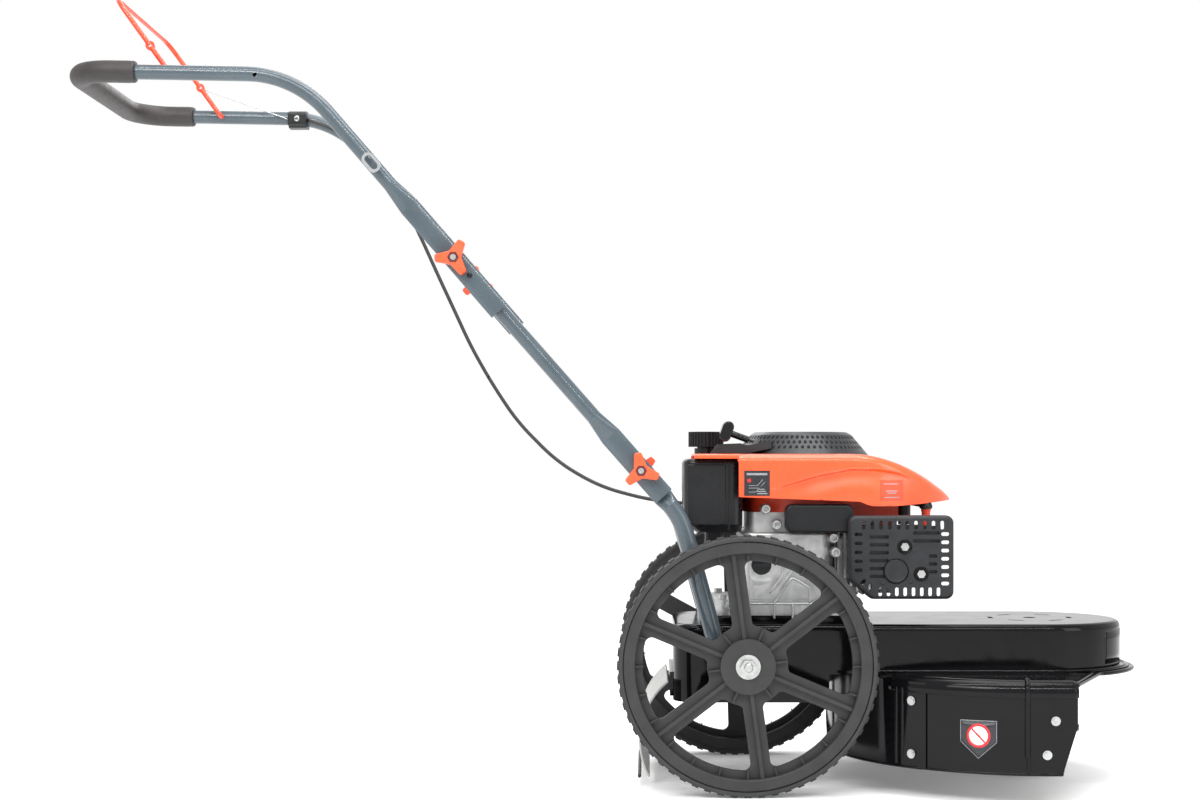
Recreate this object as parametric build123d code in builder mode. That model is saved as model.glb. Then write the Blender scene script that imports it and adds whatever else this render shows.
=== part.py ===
from build123d import *
from math import cos, hypot, pi, radians, sin, tan
import os

# Walk-behind string-trimmer mower. Millimetres, +X forward, +Z up, wheels on Z = 0.
# The operator's right-hand side is at -Y. X = 0 is the middle of the whole machine.

# Running gear
AXLE_X = 187.0
WHEEL_R = 178.0
AXLE_Z = WHEEL_R
WHEEL_Y = 196.0
WHEEL_W = 45.0
AXLE_R = 6.0
RUNNING_GAP = 0.05
SPOKES = 6
FAR_SPOKE_ANGLE = 28.4
SPOKE_ANGLE = 37.5
SPOKE_W = 27.0
TYRE_IN_R = 170.0
RIM_IN_R = 153.0
WINDOW_OUT_R = 143.0
WINDOW_IN_R = 55.0
HUB_R = 37.5

# Deck
DECK_TOP = 228.0
SHEET = 2.5
HOUSING_R = 129.0
HOUSING_REAR = AXLE_X - 100.0
HEAD_X = AXLE_X + 423.0
PLATE_TOP = 161.0
PLATE_BOTTOM = 158.0
PLATE_R = 148.0
SKIRT_X = AXLE_X + 406.0
SKIRT_R = 280.0
SKIRT_BOTTOM = 40.0
SHIELD_R = SKIRT_R - SHEET
SHIELD_FRONT = AXLE_X + 433.0
SHIELD_REAR = AXLE_X + 205.0
SKIRT_FRONT = AXLE_X + 239.0

# Engine, with its vertical crankshaft
CRANK_X = AXLE_X + 88.0
ENGINE_BASE = 238.0
FAN_FLOOR = 384.0
BRAKE_X = AXLE_X + 24.0
BRAKE_Z = 378.0
SHROUD_BOTTOM = 402.0
SHROUD_TOP = 467.0
COVER_TOP = 499.0
TANK_X = AXLE_X - 43.0
CAP_X = AXLE_X - 50.5

# Handle
PIPE_R = 10.25
MID_R = 10.5
LOW_R = 12.5
WALL = 1.5
UPPER_Y = 171.0
MID_Y = 156.0
MID_FLAT_Y = 151.5
LOW_Y = 143.0
FLAT_HALF = 4.0
UPPER_BOLT = Vector(AXLE_X - 402.3, 0, 735.7)
LOWER_BOLT = Vector(AXLE_X - 145.1, 0, 443.2)
GRIP_R = 15.0
HANDLE_BACK = AXLE_X - 930.0
BAIL_X = AXLE_X - 796.0
BAIL_Z = 991.0
BAIL_R = 3.5
BAIL_Y = 150.0
BOLT_R = 4.0

# Belt drive under the deck top
BELT_Z = 200.0
BELT_H = 9.0
ENGINE_PULLEY_R = 34.0
HEAD_PULLEY_R = 46.0
BELT_GAP = 0.4
IDLER_X = AXLE_X + 250.0
IDLER_R = 22.0

# Muffler guard, on the right of the cylinder
GUARD_X = AXLE_X + 220.0
GUARD_Z = 319.5
GUARD_SCREWS = ((2.6, 17.7), (25.4, -20.2))
ACCESSORY_R = 3.0

SIDES = (("right", -1), ("left", 1))

os.makedirs("parts", exist_ok=True)


def save(piece, name):
    piece.part.label = name
    export_step(piece.part, f"parts/{name}.step")


def outward(sign, distance, x=0.0, z=0.0):
    """Plane facing away from the machine on one side; its Y is up."""
    return Plane(origin=(x, sign * distance, z), x_dir=(-sign, 0, 0), z_dir=(0, sign, 0))


def across(direction, point, y):
    """Plane square to a direction in XZ, at a point, with its X along Y."""
    return Plane(origin=(point.X, y, point.Z), x_dir=(0, 1, 0), z_dir=direction)


def heading(start, end):
    return Vector(end.X - start.X, 0, end.Z - start.Z).normalized()


MID_DIR = heading(UPPER_BOLT, LOWER_BOLT)


# ---------------------------------------------------------------- wheels
def wheel_rim(name, sign):
    face = outward(sign, WHEEL_Y, AXLE_X, AXLE_Z)
    half = WHEEL_W / 2 - 1.5
    turn = SPOKE_ANGLE if sign < 0 else FAR_SPOKE_ANGLE
    web = 10.0
    web_face = 8.0
    with BuildPart() as rim:
        with BuildSketch(face.offset(-half)):
            Circle(TYRE_IN_R)
            Circle(RIM_IN_R, mode=Mode.SUBTRACT)
        extrude(amount=2 * half)
        with BuildSketch(face.offset(web_face - web)):
            Circle(RIM_IN_R + 1)
            with BuildSketch(mode=Mode.PRIVATE) as gaps:
                Circle(WINDOW_OUT_R)
                Circle(WINDOW_IN_R, mode=Mode.SUBTRACT)
                with PolarLocations(WINDOW_OUT_R / 2, SPOKES, start_angle=turn):
                    Rectangle(WINDOW_OUT_R + 20, SPOKE_W, mode=Mode.SUBTRACT)
                fillet(gaps.vertices(), 9)
            add(gaps.sketch, mode=Mode.SUBTRACT)
        extrude(amount=web)
        with BuildSketch(face.offset(web_face)):
            with PolarLocations((HUB_R + RIM_IN_R) / 2, SPOKES, start_angle=turn):
                Rectangle(RIM_IN_R - HUB_R + 2, 5)
            with PolarLocations(HUB_R + 7, 2 * SPOKES, start_angle=turn):
                Rectangle(18, 2.5)
            with PolarLocations(RIM_IN_R - 5, 4 * SPOKES, start_angle=turn + 7.5):
                Rectangle(12, 2)
        extrude(amount=8)
        with BuildSketch(face.offset(-half)):
            Circle(HUB_R)
        extrude(amount=half + 21)
        fillet(rim.faces().sort_by(Axis.Y)[0 if sign < 0 else -1].edges(), 2.5)
        with BuildSketch(face.offset(-half - 1)):
            Circle(AXLE_R + RUNNING_GAP)
        extrude(amount=2 * half + 6, mode=Mode.SUBTRACT)
    save(rim, name)


def tyre(name, sign):
    face = outward(sign, WHEEL_Y, AXLE_X, AXLE_Z)
    lugs = 60
    lug_out = WHEEL_R - 2.0
    with BuildPart() as ring:
        with BuildSketch(face.offset(-WHEEL_W / 2)):
            Circle(lug_out)
            Circle(TYRE_IN_R, mode=Mode.SUBTRACT)
        extrude(amount=WHEEL_W)
        fillet(ring.edges().filter_by(GeomType.CIRCLE).group_by(SortBy.RADIUS)[-1], 2.5)
        with BuildSketch(face.offset(-WHEEL_W / 2 + 3)):
            with PolarLocations(WHEEL_R - 3.1, lugs, start_angle=90.0):
                Rectangle(6.0, 9)
        extrude(amount=WHEEL_W - 6)
        with BuildSketch(face.offset(-WHEEL_W / 2)):
            Circle(WHEEL_R + 10)
            Circle(WHEEL_R, mode=Mode.SUBTRACT)
        extrude(amount=WHEEL_W, mode=Mode.SUBTRACT)
    save(ring, name)


def axle_parts():
    tip = WHEEL_Y + 38.0
    with BuildPart() as axle:
        with BuildSketch(outward(-1, tip, AXLE_X, AXLE_Z)):
            Circle(AXLE_R)
        extrude(amount=-2 * tip)
        chamfer(axle.edges().filter_by(GeomType.CIRCLE), 1.0)
        for _, sign in SIDES:
            with BuildSketch(outward(sign, HOUSING_R + 0.1, AXLE_X, AXLE_Z)):
                Circle(AXLE_R + 4)
            extrude(amount=WHEEL_Y - WHEEL_W / 2 - HOUSING_R - 0.4)
    save(axle, "axle")


# ------------------------------------------------------------------ deck
def housing_outline(radius, rear):
    """Oblong plan: a half circle round the cutting head and a squared rear end."""
    corner = 38.0
    with BuildLine() as outline:
        RadiusArc((HEAD_X, radius), (HEAD_X, -radius), radius, short_sagitta=True)
        Line((HEAD_X, -radius), (rear + corner, -radius))
        RadiusArc((rear + corner, -radius), (rear, -radius + corner), corner)
        Line((rear, -radius + corner), (rear, radius - corner))
        RadiusArc((rear, radius - corner), (rear + corner, radius), corner)
        Line((rear + corner, radius), (HEAD_X, radius))
    make_face(outline.edges())


def deck_housing():
    rear_drop = 119.0
    drop_end = AXLE_X + 118.0
    slots = 6
    slot_r = 57.5
    with BuildPart() as housing:
        with BuildSketch(Plane.XY.offset(PLATE_TOP)):
            housing_outline(HOUSING_R, HOUSING_REAR)
        extrude(amount=DECK_TOP - PLATE_TOP)
        fillet(housing.faces().sort_by(Axis.Z)[-1].edges(), 9)
        with BuildSketch(Plane.XY.offset(PLATE_TOP)):
            housing_outline(HOUSING_R - SHEET, HOUSING_REAR + SHEET)
        extrude(amount=DECK_TOP - PLATE_TOP - SHEET, mode=Mode.SUBTRACT)
        with BuildSketch(Plane.XY.offset(rear_drop)):
            housing_outline(HOUSING_R, HOUSING_REAR)
            housing_outline_inner(HOUSING_R - SHEET, HOUSING_REAR + SHEET)
            with Locations((drop_end + 500, 0)):
                Rectangle(1000, 600, mode=Mode.SUBTRACT)
        extrude(amount=PLATE_TOP - rear_drop)
        with BuildSketch(Plane.XY.offset(PLATE_TOP)):
            housing_outline(HOUSING_R + 13, drop_end)
            housing_outline_inner(HOUSING_R - SHEET, HOUSING_REAR + SHEET)
        extrude(amount=3)
        with BuildSketch(Plane.XY.offset(DECK_TOP)):
            with Locations((HEAD_X, 0)):
                with PolarLocations(slot_r, slots, start_angle=0):
                    SlotCenterToCenter(18, 7, rotation=90)
                Circle(9)
            with Locations((CRANK_X, 0)):
                Circle(32)
        extrude(amount=-SHEET - 1, mode=Mode.SUBTRACT)
        with BuildSketch(Plane.XZ.offset(-HOUSING_R - 1)):
            with Locations((AXLE_X, AXLE_Z)):
                Circle(AXLE_R)
        extrude(amount=2 * HOUSING_R + 2, mode=Mode.SUBTRACT)
        with BuildSketch(Plane.XY.offset(DECK_TOP)):
            with Locations((AXLE_X + 50, 0)):
                RectangleRounded(224, 196, 18)
            with Locations((CRANK_X, 0)):
                Circle(32, mode=Mode.SUBTRACT)
        extrude(amount=ENGINE_BASE - DECK_TOP)
        chamfer(housing.faces().sort_by(Axis.Z)[-1].edges(), 2.5)
        with BuildSketch(Plane.XY.offset(rear_drop + 5)):
            with Locations((HOUSING_REAR - 2, 0)):
                Rectangle(5, 180)
        extrude(amount=34)
    save(housing, "deck_housing")


def housing_outline_inner(radius, rear):
    with BuildSketch(mode=Mode.PRIVATE) as inner:
        housing_outline(radius, rear)
    add(inner.sketch, mode=Mode.SUBTRACT)


def deck_plate():
    """Flat base of the deck; its brim reaches the nose and the front corners of the skirt."""
    corner_y = SHIELD_R - 2.0
    nose_r = PLATE_R
    lean = 60.0
    touch = (HEAD_X + nose_r * cos(radians(lean)), nose_r * sin(radians(lean)))
    rear_half = HOUSING_R - SHEET - 0.3
    with BuildPart() as plate:
        with BuildSketch(Plane.XY.offset(PLATE_BOTTOM)):
            with BuildLine():
                RadiusArc(touch, (touch[0], -touch[1]), nose_r, short_sagitta=True)
                Polyline((touch[0], -touch[1]), (SHIELD_FRONT, -corner_y), (SKIRT_X, -corner_y))
                RadiusArc((SKIRT_X, -corner_y), (SKIRT_X, corner_y), corner_y)
                Polyline((SKIRT_X, corner_y), (SHIELD_FRONT, corner_y), touch)
            make_face()
            housing_outline(rear_half, HOUSING_REAR + SHEET + 0.3)
        extrude(amount=PLATE_TOP - PLATE_BOTTOM)
        with BuildSketch(Plane.XY.offset(PLATE_TOP)):
            with Locations((HEAD_X, 0)):
                Circle(30)
        extrude(amount=-10, mode=Mode.SUBTRACT)
        with BuildSketch(Plane.XY.offset(PLATE_TOP)):
            with Locations((AXLE_X + 88, 0)):
                Circle(26)
        extrude(amount=-10, mode=Mode.SUBTRACT)
    save(plate, "deck_plate")


def skirt_ring(outer, x_from, x_to, sides):
    """Upright sheet ring round the cutting circle between two X stations."""
    with BuildSketch(Plane.XY.offset(PLATE_BOTTOM)) as ring:
        with Locations((SKIRT_X, 0)):
            Circle(outer)
            Circle(outer - SHEET, mode=Mode.SUBTRACT)
        with Locations(((x_from + x_to) / 2, 160 * sides)):
            Rectangle(x_to - x_from, 700 if sides == 0 else 320, mode=Mode.INTERSECT)
    extrude(ring.sketch, amount=SKIRT_BOTTOM - PLATE_BOTTOM)


def ring_spot(radius, x, z, sign):
    """Plane that faces outward from a point of the skirt ring."""
    run = x - SKIRT_X
    rise = sign * (radius ** 2 - run ** 2) ** 0.5
    return Plane(origin=(x, rise, z), x_dir=(-rise, run, 0), z_dir=(run, rise, 0))


def skirt_parts():
    ribs = (AXLE_X + 204.0, AXLE_X + 211.0)
    with BuildPart() as skirt:
        skirt_ring(SKIRT_R, SKIRT_X - SKIRT_R - 1, SKIRT_FRONT, 0)
        for _, sign in SIDES:
            for rib_x in ribs:
                spot = ring_spot(SKIRT_R - 0.8, rib_x, SKIRT_BOTTOM, sign)
                with BuildSketch(Plane.XY.offset(SKIRT_BOTTOM + 5)):
                    with Locations((spot.origin.X, spot.origin.Y)):
                        Circle(2.6)
                extrude(amount=PLATE_BOTTOM - SKIRT_BOTTOM - 14)
        with BuildSketch(Plane.XY.offset(SKIRT_BOTTOM)):
            with Locations((SKIRT_X, 0)):
                Circle(SKIRT_R - SHEET)
        extrude(amount=PLATE_BOTTOM - SKIRT_BOTTOM, mode=Mode.SUBTRACT)
    save(skirt, "skirt_rear")
    for side, sign in SIDES:
        with BuildPart() as shield:
            skirt_ring(SHIELD_R, SHIELD_REAR, SHIELD_FRONT, sign)
            with BuildSketch(outward(sign, 0, SHIELD_FRONT, SKIRT_BOTTOM)):
                away = sign
                with BuildLine():
                    Polyline((-away * 1, -1), (away * 20, -1), (away * 18, 9),
                             (away * 1, 62), (-away * 1, 62), close=True)
                make_face()
            extrude(amount=400, mode=Mode.SUBTRACT)
            rib = ring_spot(SHIELD_R - 0.6, AXLE_X + 368, SKIRT_BOTTOM, sign)
            with BuildSketch(Plane.XY.offset(SKIRT_BOTTOM + 6)):
                with Locations((rib.origin.X, rib.origin.Y)):
                    Circle(2.4)
            extrude(amount=PLATE_BOTTOM - SKIRT_BOTTOM - 24)
            with BuildSketch(Plane.XY.offset(SKIRT_BOTTOM)):
                with Locations((SKIRT_X, 0)):
                    Circle(SHIELD_R - SHEET)
            extrude(amount=PLATE_BOTTOM - SKIRT_BOTTOM, mode=Mode.SUBTRACT)
        save(shield, f"side_shield_{side}")


def rear_flap():
    half = 118.0
    with BuildPart() as flap:
        with BuildSketch(Plane.XZ.offset(-half)):
            with BuildLine():
                outer = ThreePointArc((AXLE_X - 107, 146), (AXLE_X - 146, 64), (AXLE_X - 133, 14))
                offset(outer, 2.5, side=Side.RIGHT)
            make_face()
        extrude(amount=2 * half)
    save(flap, "rear_flap")


# ------------------------------------------------------------ belt drive
def pulley(name, x, radius, bore, groove=True):
    rim = radius + 4.0
    half = BELT_H / 2 + 3.0
    with BuildPart() as wheel:
        with BuildSketch(Plane.XZ):
            with BuildLine():
                Polyline((x + bore, BELT_Z - half), (x + rim, BELT_Z - half),
                         (x + rim, BELT_Z - BELT_H / 2 - 0.5), (x + radius, BELT_Z - 3),
                         (x + radius, BELT_Z + 3), (x + rim, BELT_Z + BELT_H / 2 + 0.5),
                         (x + rim, BELT_Z + half), (x + bore, BELT_Z + half), close=True)
            make_face()
        revolve(axis=Axis((x, 0, 0), (0, 0, 1)))
    save(wheel, name)


def belt():
    """Closed loop round both pulleys, a little clear of their grooves."""
    inner_a = ENGINE_PULLEY_R + BELT_GAP
    inner_b = HEAD_PULLEY_R + BELT_GAP
    thick = 4.0
    slant = (inner_b - inner_a) / (HEAD_X - CRANK_X)
    with BuildPart() as loop:
        with BuildSketch(Plane.XY.offset(BELT_Z - 2.8)):
            belt_outline(inner_a + thick, inner_b + thick, slant)
            with BuildSketch(mode=Mode.PRIVATE) as inner:
                belt_outline(inner_a, inner_b, slant)
            add(inner.sketch, mode=Mode.SUBTRACT)
        extrude(amount=5.6)
    save(loop, "drive_belt")


def belt_outline(r_a, r_b, slant):
    rise = (1 - slant ** 2) ** 0.5
    a_top = (CRANK_X - r_a * slant, r_a * rise)
    b_top = (HEAD_X - r_b * slant, r_b * rise)
    with BuildLine() as outline:
        Line(a_top, b_top)
        ThreePointArc(b_top, (HEAD_X + r_b, 0), (b_top[0], -b_top[1]))
        Line((b_top[0], -b_top[1]), (a_top[0], -a_top[1]))
        ThreePointArc((a_top[0], -a_top[1]), (CRANK_X - r_a, 0), a_top)
    make_face(outline.edges())


def idler_parts():
    reach = (ENGINE_PULLEY_R + HEAD_PULLEY_R) / 2 + BELT_GAP + 4.0
    y = reach + IDLER_R + 0.9
    with BuildPart() as roller:
        with BuildSketch(Plane.XY.offset(BELT_Z - 7)):
            with Locations((IDLER_X, y)):
                Circle(IDLER_R)
                Circle(BOLT_R + RUNNING_GAP, mode=Mode.SUBTRACT)
        extrude(amount=14)
        fillet(roller.edges().filter_by(GeomType.CIRCLE).group_by(SortBy.RADIUS)[-1], 1.5)
    save(roller, "idler_pulley")
    with BuildPart() as bolt:
        with BuildSketch(Plane.XY.offset(PLATE_TOP)):
            with Locations((IDLER_X, y)):
                Circle(BOLT_R)
        extrude(amount=50)
        with BuildSketch(Plane.XY.offset(PLATE_TOP)):
            with Locations((IDLER_X, y)):
                Circle(9)
                Circle(BOLT_R, mode=Mode.SUBTRACT)
        extrude(amount=BELT_Z - 8 - PLATE_TOP)
        with BuildSketch(Plane.XY.offset(BELT_Z + 8)):
            with Locations((IDLER_X, y)):
                RegularPolygon(8, 6)
        extrude(amount=5)
    save(bolt, "idler_bolt")


def spindle_parts():
    seat_r = 20.0
    shaft_r = 10.0
    low = 92.0
    with BuildPart() as housing:
        with BuildSketch(Plane.XY.offset(PLATE_BOTTOM)):
            with Locations((HEAD_X, 0)):
                Circle(44)
                with PolarLocations(36, 4, start_angle=45):
                    Circle(3.5, mode=Mode.SUBTRACT)
        extrude(amount=-6)
        with BuildSketch(Plane.XY.offset(low)):
            with Locations((HEAD_X, 0)):
                Circle(28)
        extrude(amount=PLATE_BOTTOM - low - 6)
        with BuildSketch(Plane.XY.offset(low)):
            with Locations((HEAD_X, 0)):
                Circle(seat_r)
        extrude(amount=PLATE_BOTTOM - low, mode=Mode.SUBTRACT)
    save(housing, "spindle_housing")
    with BuildPart() as rings:
        for z in (low + 1, PLATE_BOTTOM - 15):
            with BuildSketch(Plane.XY.offset(z)):
                with Locations((HEAD_X, 0)):
                    Circle(seat_r)
                    Circle(shaft_r + RUNNING_GAP, mode=Mode.SUBTRACT)
            extrude(amount=12)
    save(rings, "spindle_bearings")
    with BuildPart() as spindle:
        with BuildSketch(Plane.XY.offset(58)):
            with Locations((HEAD_X, 0)):
                Circle(shaft_r)
        extrude(amount=BELT_Z + 14 - 58)
    save(spindle, "spindle")
    with BuildPart() as head:
        with BuildSketch(Plane.XZ):
            with BuildLine():
                Polyline((HEAD_X + shaft_r, 60), (HEAD_X + 62, 60), (HEAD_X + 72, 66),
                         (HEAD_X + 72, 72), (HEAD_X + 54, 76), (HEAD_X + 34, 88),
                         (HEAD_X + shaft_r, 88), close=True)
            make_face()
        revolve(axis=Axis((HEAD_X, 0, 0), (0, 0, 1)))
        with BuildSketch(Plane.XY.offset(60)):
            with Locations((HEAD_X, 0)):
                with PolarLocations(60, 4, start_angle=45):
                    Circle(4)
        extrude(amount=-14)
    save(head, "trimmer_head")
    with BuildPart() as lines:
        for turn in (0, 180):
            angle = radians(turn + 90)
            with BuildSketch(Plane(origin=(HEAD_X + 72 * cos(angle), 72 * sin(angle), 69),
                                   z_dir=(cos(angle), sin(angle), 0))):
                Circle(1.6)
            extrude(amount=175)
    save(lines, "cutting_lines")
    with BuildPart() as dome:
        with BuildSketch(Plane.XZ):
            with BuildLine():
                Polyline((HEAD_X, 0.0), (HEAD_X + 14, 0.0))
                ThreePointArc((HEAD_X + 14, 0.0), (HEAD_X + 44, 12), (HEAD_X + 58, 40))
                Polyline((HEAD_X + 58, 40), (HEAD_X + 50, 46), (HEAD_X + 40, 58), (HEAD_X, 58),
                         (HEAD_X, 0))
            make_face()
        revolve(axis=Axis((HEAD_X, 0, 0), (0, 0, 1)))
    save(dome, "glide_dome")


# ---------------------------------------------------------------- engine
def crankcase():
    bore = 13.0
    with BuildPart() as case:
        with BuildSketch(Plane.XY.offset(ENGINE_BASE)):
            with Locations((AXLE_X + 52, 0)):
                RectangleRounded(186, 176, 22)
        extrude(amount=22)
        with BuildSketch(Plane.XY.offset(ENGINE_BASE + 22)):
            with Locations((AXLE_X + 63, 0)):
                RectangleRounded(132, 168, 20)
        extrude(amount=96)
        fillet(case.faces().sort_by(Axis.Z)[-1].edges(), 5)
        with BuildSketch(Plane.XY.offset(ENGINE_BASE + 117)):
            with Locations((AXLE_X + 66, 0)):
                RectangleRounded(118, 140, 14)
        extrude(amount=FAN_FLOOR - ENGINE_BASE - 117)
        with BuildSketch(outward(-1, 84, AXLE_X, 0)):
            for x, z, turn in ((60, 290, 52), (92, 300, 90), (110, 281, -38)):
                with Locations((x, z)):
                    Rectangle(46, 4, rotation=turn)
            for x in (82, 104):
                with Locations((x, 250)):
                    Rectangle(4, 22)
        extrude(amount=5)
        with BuildSketch(outward(-1, 84, AXLE_X, 0)):
            with Locations((25, 306)):
                RectangleRounded(32, 40, 9)
        extrude(amount=8)
        with BuildSketch(outward(-1, 92, AXLE_X, 0)):
            with Locations((25, 310)):
                Circle(10.5)
        extrude(amount=-16, mode=Mode.SUBTRACT)
        with BuildSketch(Plane.XY.offset(ENGINE_BASE + 22)):
            with Locations((AXLE_X + 63, 0)):
                RectangleRounded(120, 156, 14)
        extrude(amount=90, mode=Mode.SUBTRACT)
        with BuildSketch(Plane.XY.offset(ENGINE_BASE)):
            with Locations((CRANK_X, 0)):
                Circle(bore + RUNNING_GAP)
        extrude(amount=160, mode=Mode.SUBTRACT)
        with BuildSketch(outward(1, 84, BRAKE_X, 0)):
            with Locations((0, 338)):
                Rectangle(26, 34)
        extrude(amount=10)
        with BuildSketch(outward(1, 84, BRAKE_X, 0)):
            with Locations((0, BRAKE_Z)):
                Rectangle(20, 64)
        extrude(amount=8)
        with BuildSketch(outward(1, 92, BRAKE_X, BRAKE_Z)):
            Circle(4)
        extrude(amount=14)
    save(case, "crankcase")
    with BuildPart() as plug:
        with BuildSketch(outward(-1, 92.2, AXLE_X, 0)):
            with Locations((25, 310)):
                Circle(14)
        extrude(amount=7)
        with BuildSketch(outward(-1, 99.2, AXLE_X, 0)):
            with Locations((25, 310)):
                Rectangle(22, 5)
        extrude(amount=7)
        with BuildSketch(outward(-1, 92.2, AXLE_X, 0)):
            with Locations((25, 310)):
                Circle(10.45)
        extrude(amount=-13)
    save(plug, "oil_filler_cap")
    with BuildPart() as shaft:
        with BuildSketch(Plane.XY.offset(180)):
            with Locations((CRANK_X, 0)):
                Circle(bore)
        extrude(amount=420 - 180)
        with BuildSketch(Plane.XY.offset(298)):
            with Locations((CRANK_X + 4, 0)):
                Circle(30)
        extrude(amount=14)
    save(shaft, "crankshaft")


def cylinder_parts():
    axis_z = 318.0
    fins = 6
    pitch = 9.0
    start = AXLE_X + 135.5
    plug_x = AXLE_X + 234.0
    with BuildPart() as block:
        with BuildSketch(Plane.YZ.offset(start)):
            with Locations((10, axis_z)):
                RectangleRounded(76, 76, 12)
        extrude(amount=fins * pitch)
        for row in range(fins):
            with BuildSketch(Plane.YZ.offset(start + 2 + row * pitch)):
                with Locations((10, axis_z)):
                    RectangleRounded(108, 108, 8)
            extrude(amount=3)
        with BuildSketch(Plane.YZ.offset(start)):
            with Locations((10, axis_z)):
                Circle(32)
        extrude(amount=fins * pitch, mode=Mode.SUBTRACT)
    save(block, "cylinder")
    with BuildPart() as head:
        with BuildSketch(Plane.YZ.offset(start + fins * pitch)):
            with Locations((10, axis_z)):
                RectangleRounded(104, 104, 10)
        extrude(amount=30)
        with BuildSketch(Plane.YZ.offset(start + fins * pitch + 30)):
            with Locations((10, axis_z)):
                RectangleRounded(84, 70, 14)
        extrude(amount=22)
        fillet(head.faces().sort_by(Axis.X)[-1].edges(), 6)
        with BuildSketch(Plane.XY.offset(348)):
            with Locations((plug_x - 6, -40)):
                Rectangle(30, 26)
        extrude(amount=6)
    save(head, "cylinder_head")
    with BuildPart() as plug:
        with BuildSketch(Plane.XY.offset(354)):
            with Locations((plug_x, -44)):
                RegularPolygon(7, 6)
        extrude(amount=10)
        with BuildSketch(Plane.XY.offset(364)):
            with Locations((plug_x, -44)):
                Circle(4.5)
        extrude(amount=20)
    with BuildPart() as boot:
        with BuildSketch(Plane.XY.offset(366)):
            with Locations((plug_x, -44)):
                Circle(9)
        extrude(amount=32)
        fillet(boot.faces().sort_by(Axis.Z)[-1].edges(), 3)
        with BuildSketch(Plane.XY.offset(366)):
            with Locations((plug_x, -44)):
                Circle(4.5)
        extrude(amount=18, mode=Mode.SUBTRACT)
    save(plug, "spark_plug")
    save(boot, "plug_boot")


def muffler_parts():
    with BuildPart() as can:
        with BuildSketch(Plane.XY.offset(284)):
            with Locations((GUARD_X - 8, -84)):
                RectangleRounded(114, 54, 16)
        extrude(amount=82)
        fillet(can.faces().sort_by(Axis.Z)[-1].edges(), 6)
        with BuildSketch(Plane.XY.offset(287)):
            with Locations((GUARD_X - 8, -84)):
                RectangleRounded(108, 48, 13)
        extrude(amount=72, mode=Mode.SUBTRACT)
    save(can, "muffler")
    with BuildPart() as guard:
        with BuildSketch(outward(-1, 118, GUARD_X, GUARD_Z)):
            with BuildLine():
                FilletPolyline((-76, 61.5), (71.5, 61.5), (71.5, -55.5), (-44, -55.5), (-76, -29),
                               close=True, radius=11)
            make_face()
        extrude(amount=18)
        fillet(guard.faces().sort_by(Axis.Y)[0].edges(), 6)
        with BuildSketch(outward(-1, 118, GUARD_X, GUARD_Z)):
            with BuildLine():
                FilletPolyline((-74, 59.5), (69.5, 59.5), (69.5, -53.5), (-43, -53.5), (-74, -28),
                               close=True, radius=9)
            make_face()
        extrude(amount=16, mode=Mode.SUBTRACT)
        with BuildSketch(outward(-1, 118, GUARD_X, GUARD_Z)):
            with Locations((0, 48)):
                with GridLocations(12.2, 1, 10, 1):
                    SlotOverall(12, 5, rotation=90)
            with Locations((-62, 10)):
                with GridLocations(1, 12.5, 1, 5):
                    SlotOverall(11, 5)
            with Locations((59, 1)):
                with GridLocations(1, 11.5, 1, 7):
                    SlotOverall(11, 5)
            with Locations((9, -45)):
                with GridLocations(11.6, 1, 8, 1):
                    SlotOverall(12, 5, rotation=90)
            with Locations((-33, 4)):
                with GridLocations(1, 11, 1, 6):
                    SlotOverall(27, 5)
            with Locations((33, 37), (33, 26)):
                SlotOverall(38, 5)
            with Locations((42, -6)):
                with GridLocations(1, 11, 1, 3):
                    SlotOverall(12, 5)
            with Locations((-56, -32), (-47, -39)):
                SlotOverall(11, 5, rotation=50)
            with Locations(*GUARD_SCREWS):
                Circle(4)
        extrude(amount=30, mode=Mode.SUBTRACT)
    save(guard, "muffler_guard")


def shroud_solid(shrink):
    """Side outline of the engine cowl swept across, cut to its rounded plan."""
    side = 117.0 - shrink
    top = SHROUD_TOP - shrink
    tip = AXLE_X + 305.0 - shrink
    with BuildSketch(Plane.XZ.offset(-side)) as profile:
        with BuildLine():
            Polyline((AXLE_X - 70 + shrink, SHROUD_BOTTOM - 0.01), (AXLE_X - 70 + shrink, top))
            Line((AXLE_X - 70 + shrink, top), (AXLE_X + 150, top))
            Spline((AXLE_X + 150, top), (AXLE_X + 240, top - 23), (tip, SHROUD_BOTTOM - 0.01),
                   tangents=((1, 0), (0.35, -1)))
            Line((tip, SHROUD_BOTTOM - 0.01), (AXLE_X - 70 + shrink, SHROUD_BOTTOM - 0.01))
        make_face()
    extrude(profile.sketch, amount=2 * side)
    with BuildSketch(Plane.XY.offset(SHROUD_BOTTOM - 1)) as plan:
        with BuildLine():
            Line((AXLE_X - 70 + shrink, side), (AXLE_X + 170, side))
            Spline((AXLE_X + 170, side), (AXLE_X + 262, side - 38), (tip, 0),
                   (AXLE_X + 262, 38 - side), (AXLE_X + 170, -side),
                   tangents=((1, 0), (-1, 0)))
            Line((AXLE_X + 170, -side), (AXLE_X - 70 + shrink, -side))
            Line((AXLE_X - 70 + shrink, -side), (AXLE_X - 70 + shrink, side))
        make_face()
    extrude(plan.sketch, amount=100, mode=Mode.INTERSECT)


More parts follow.
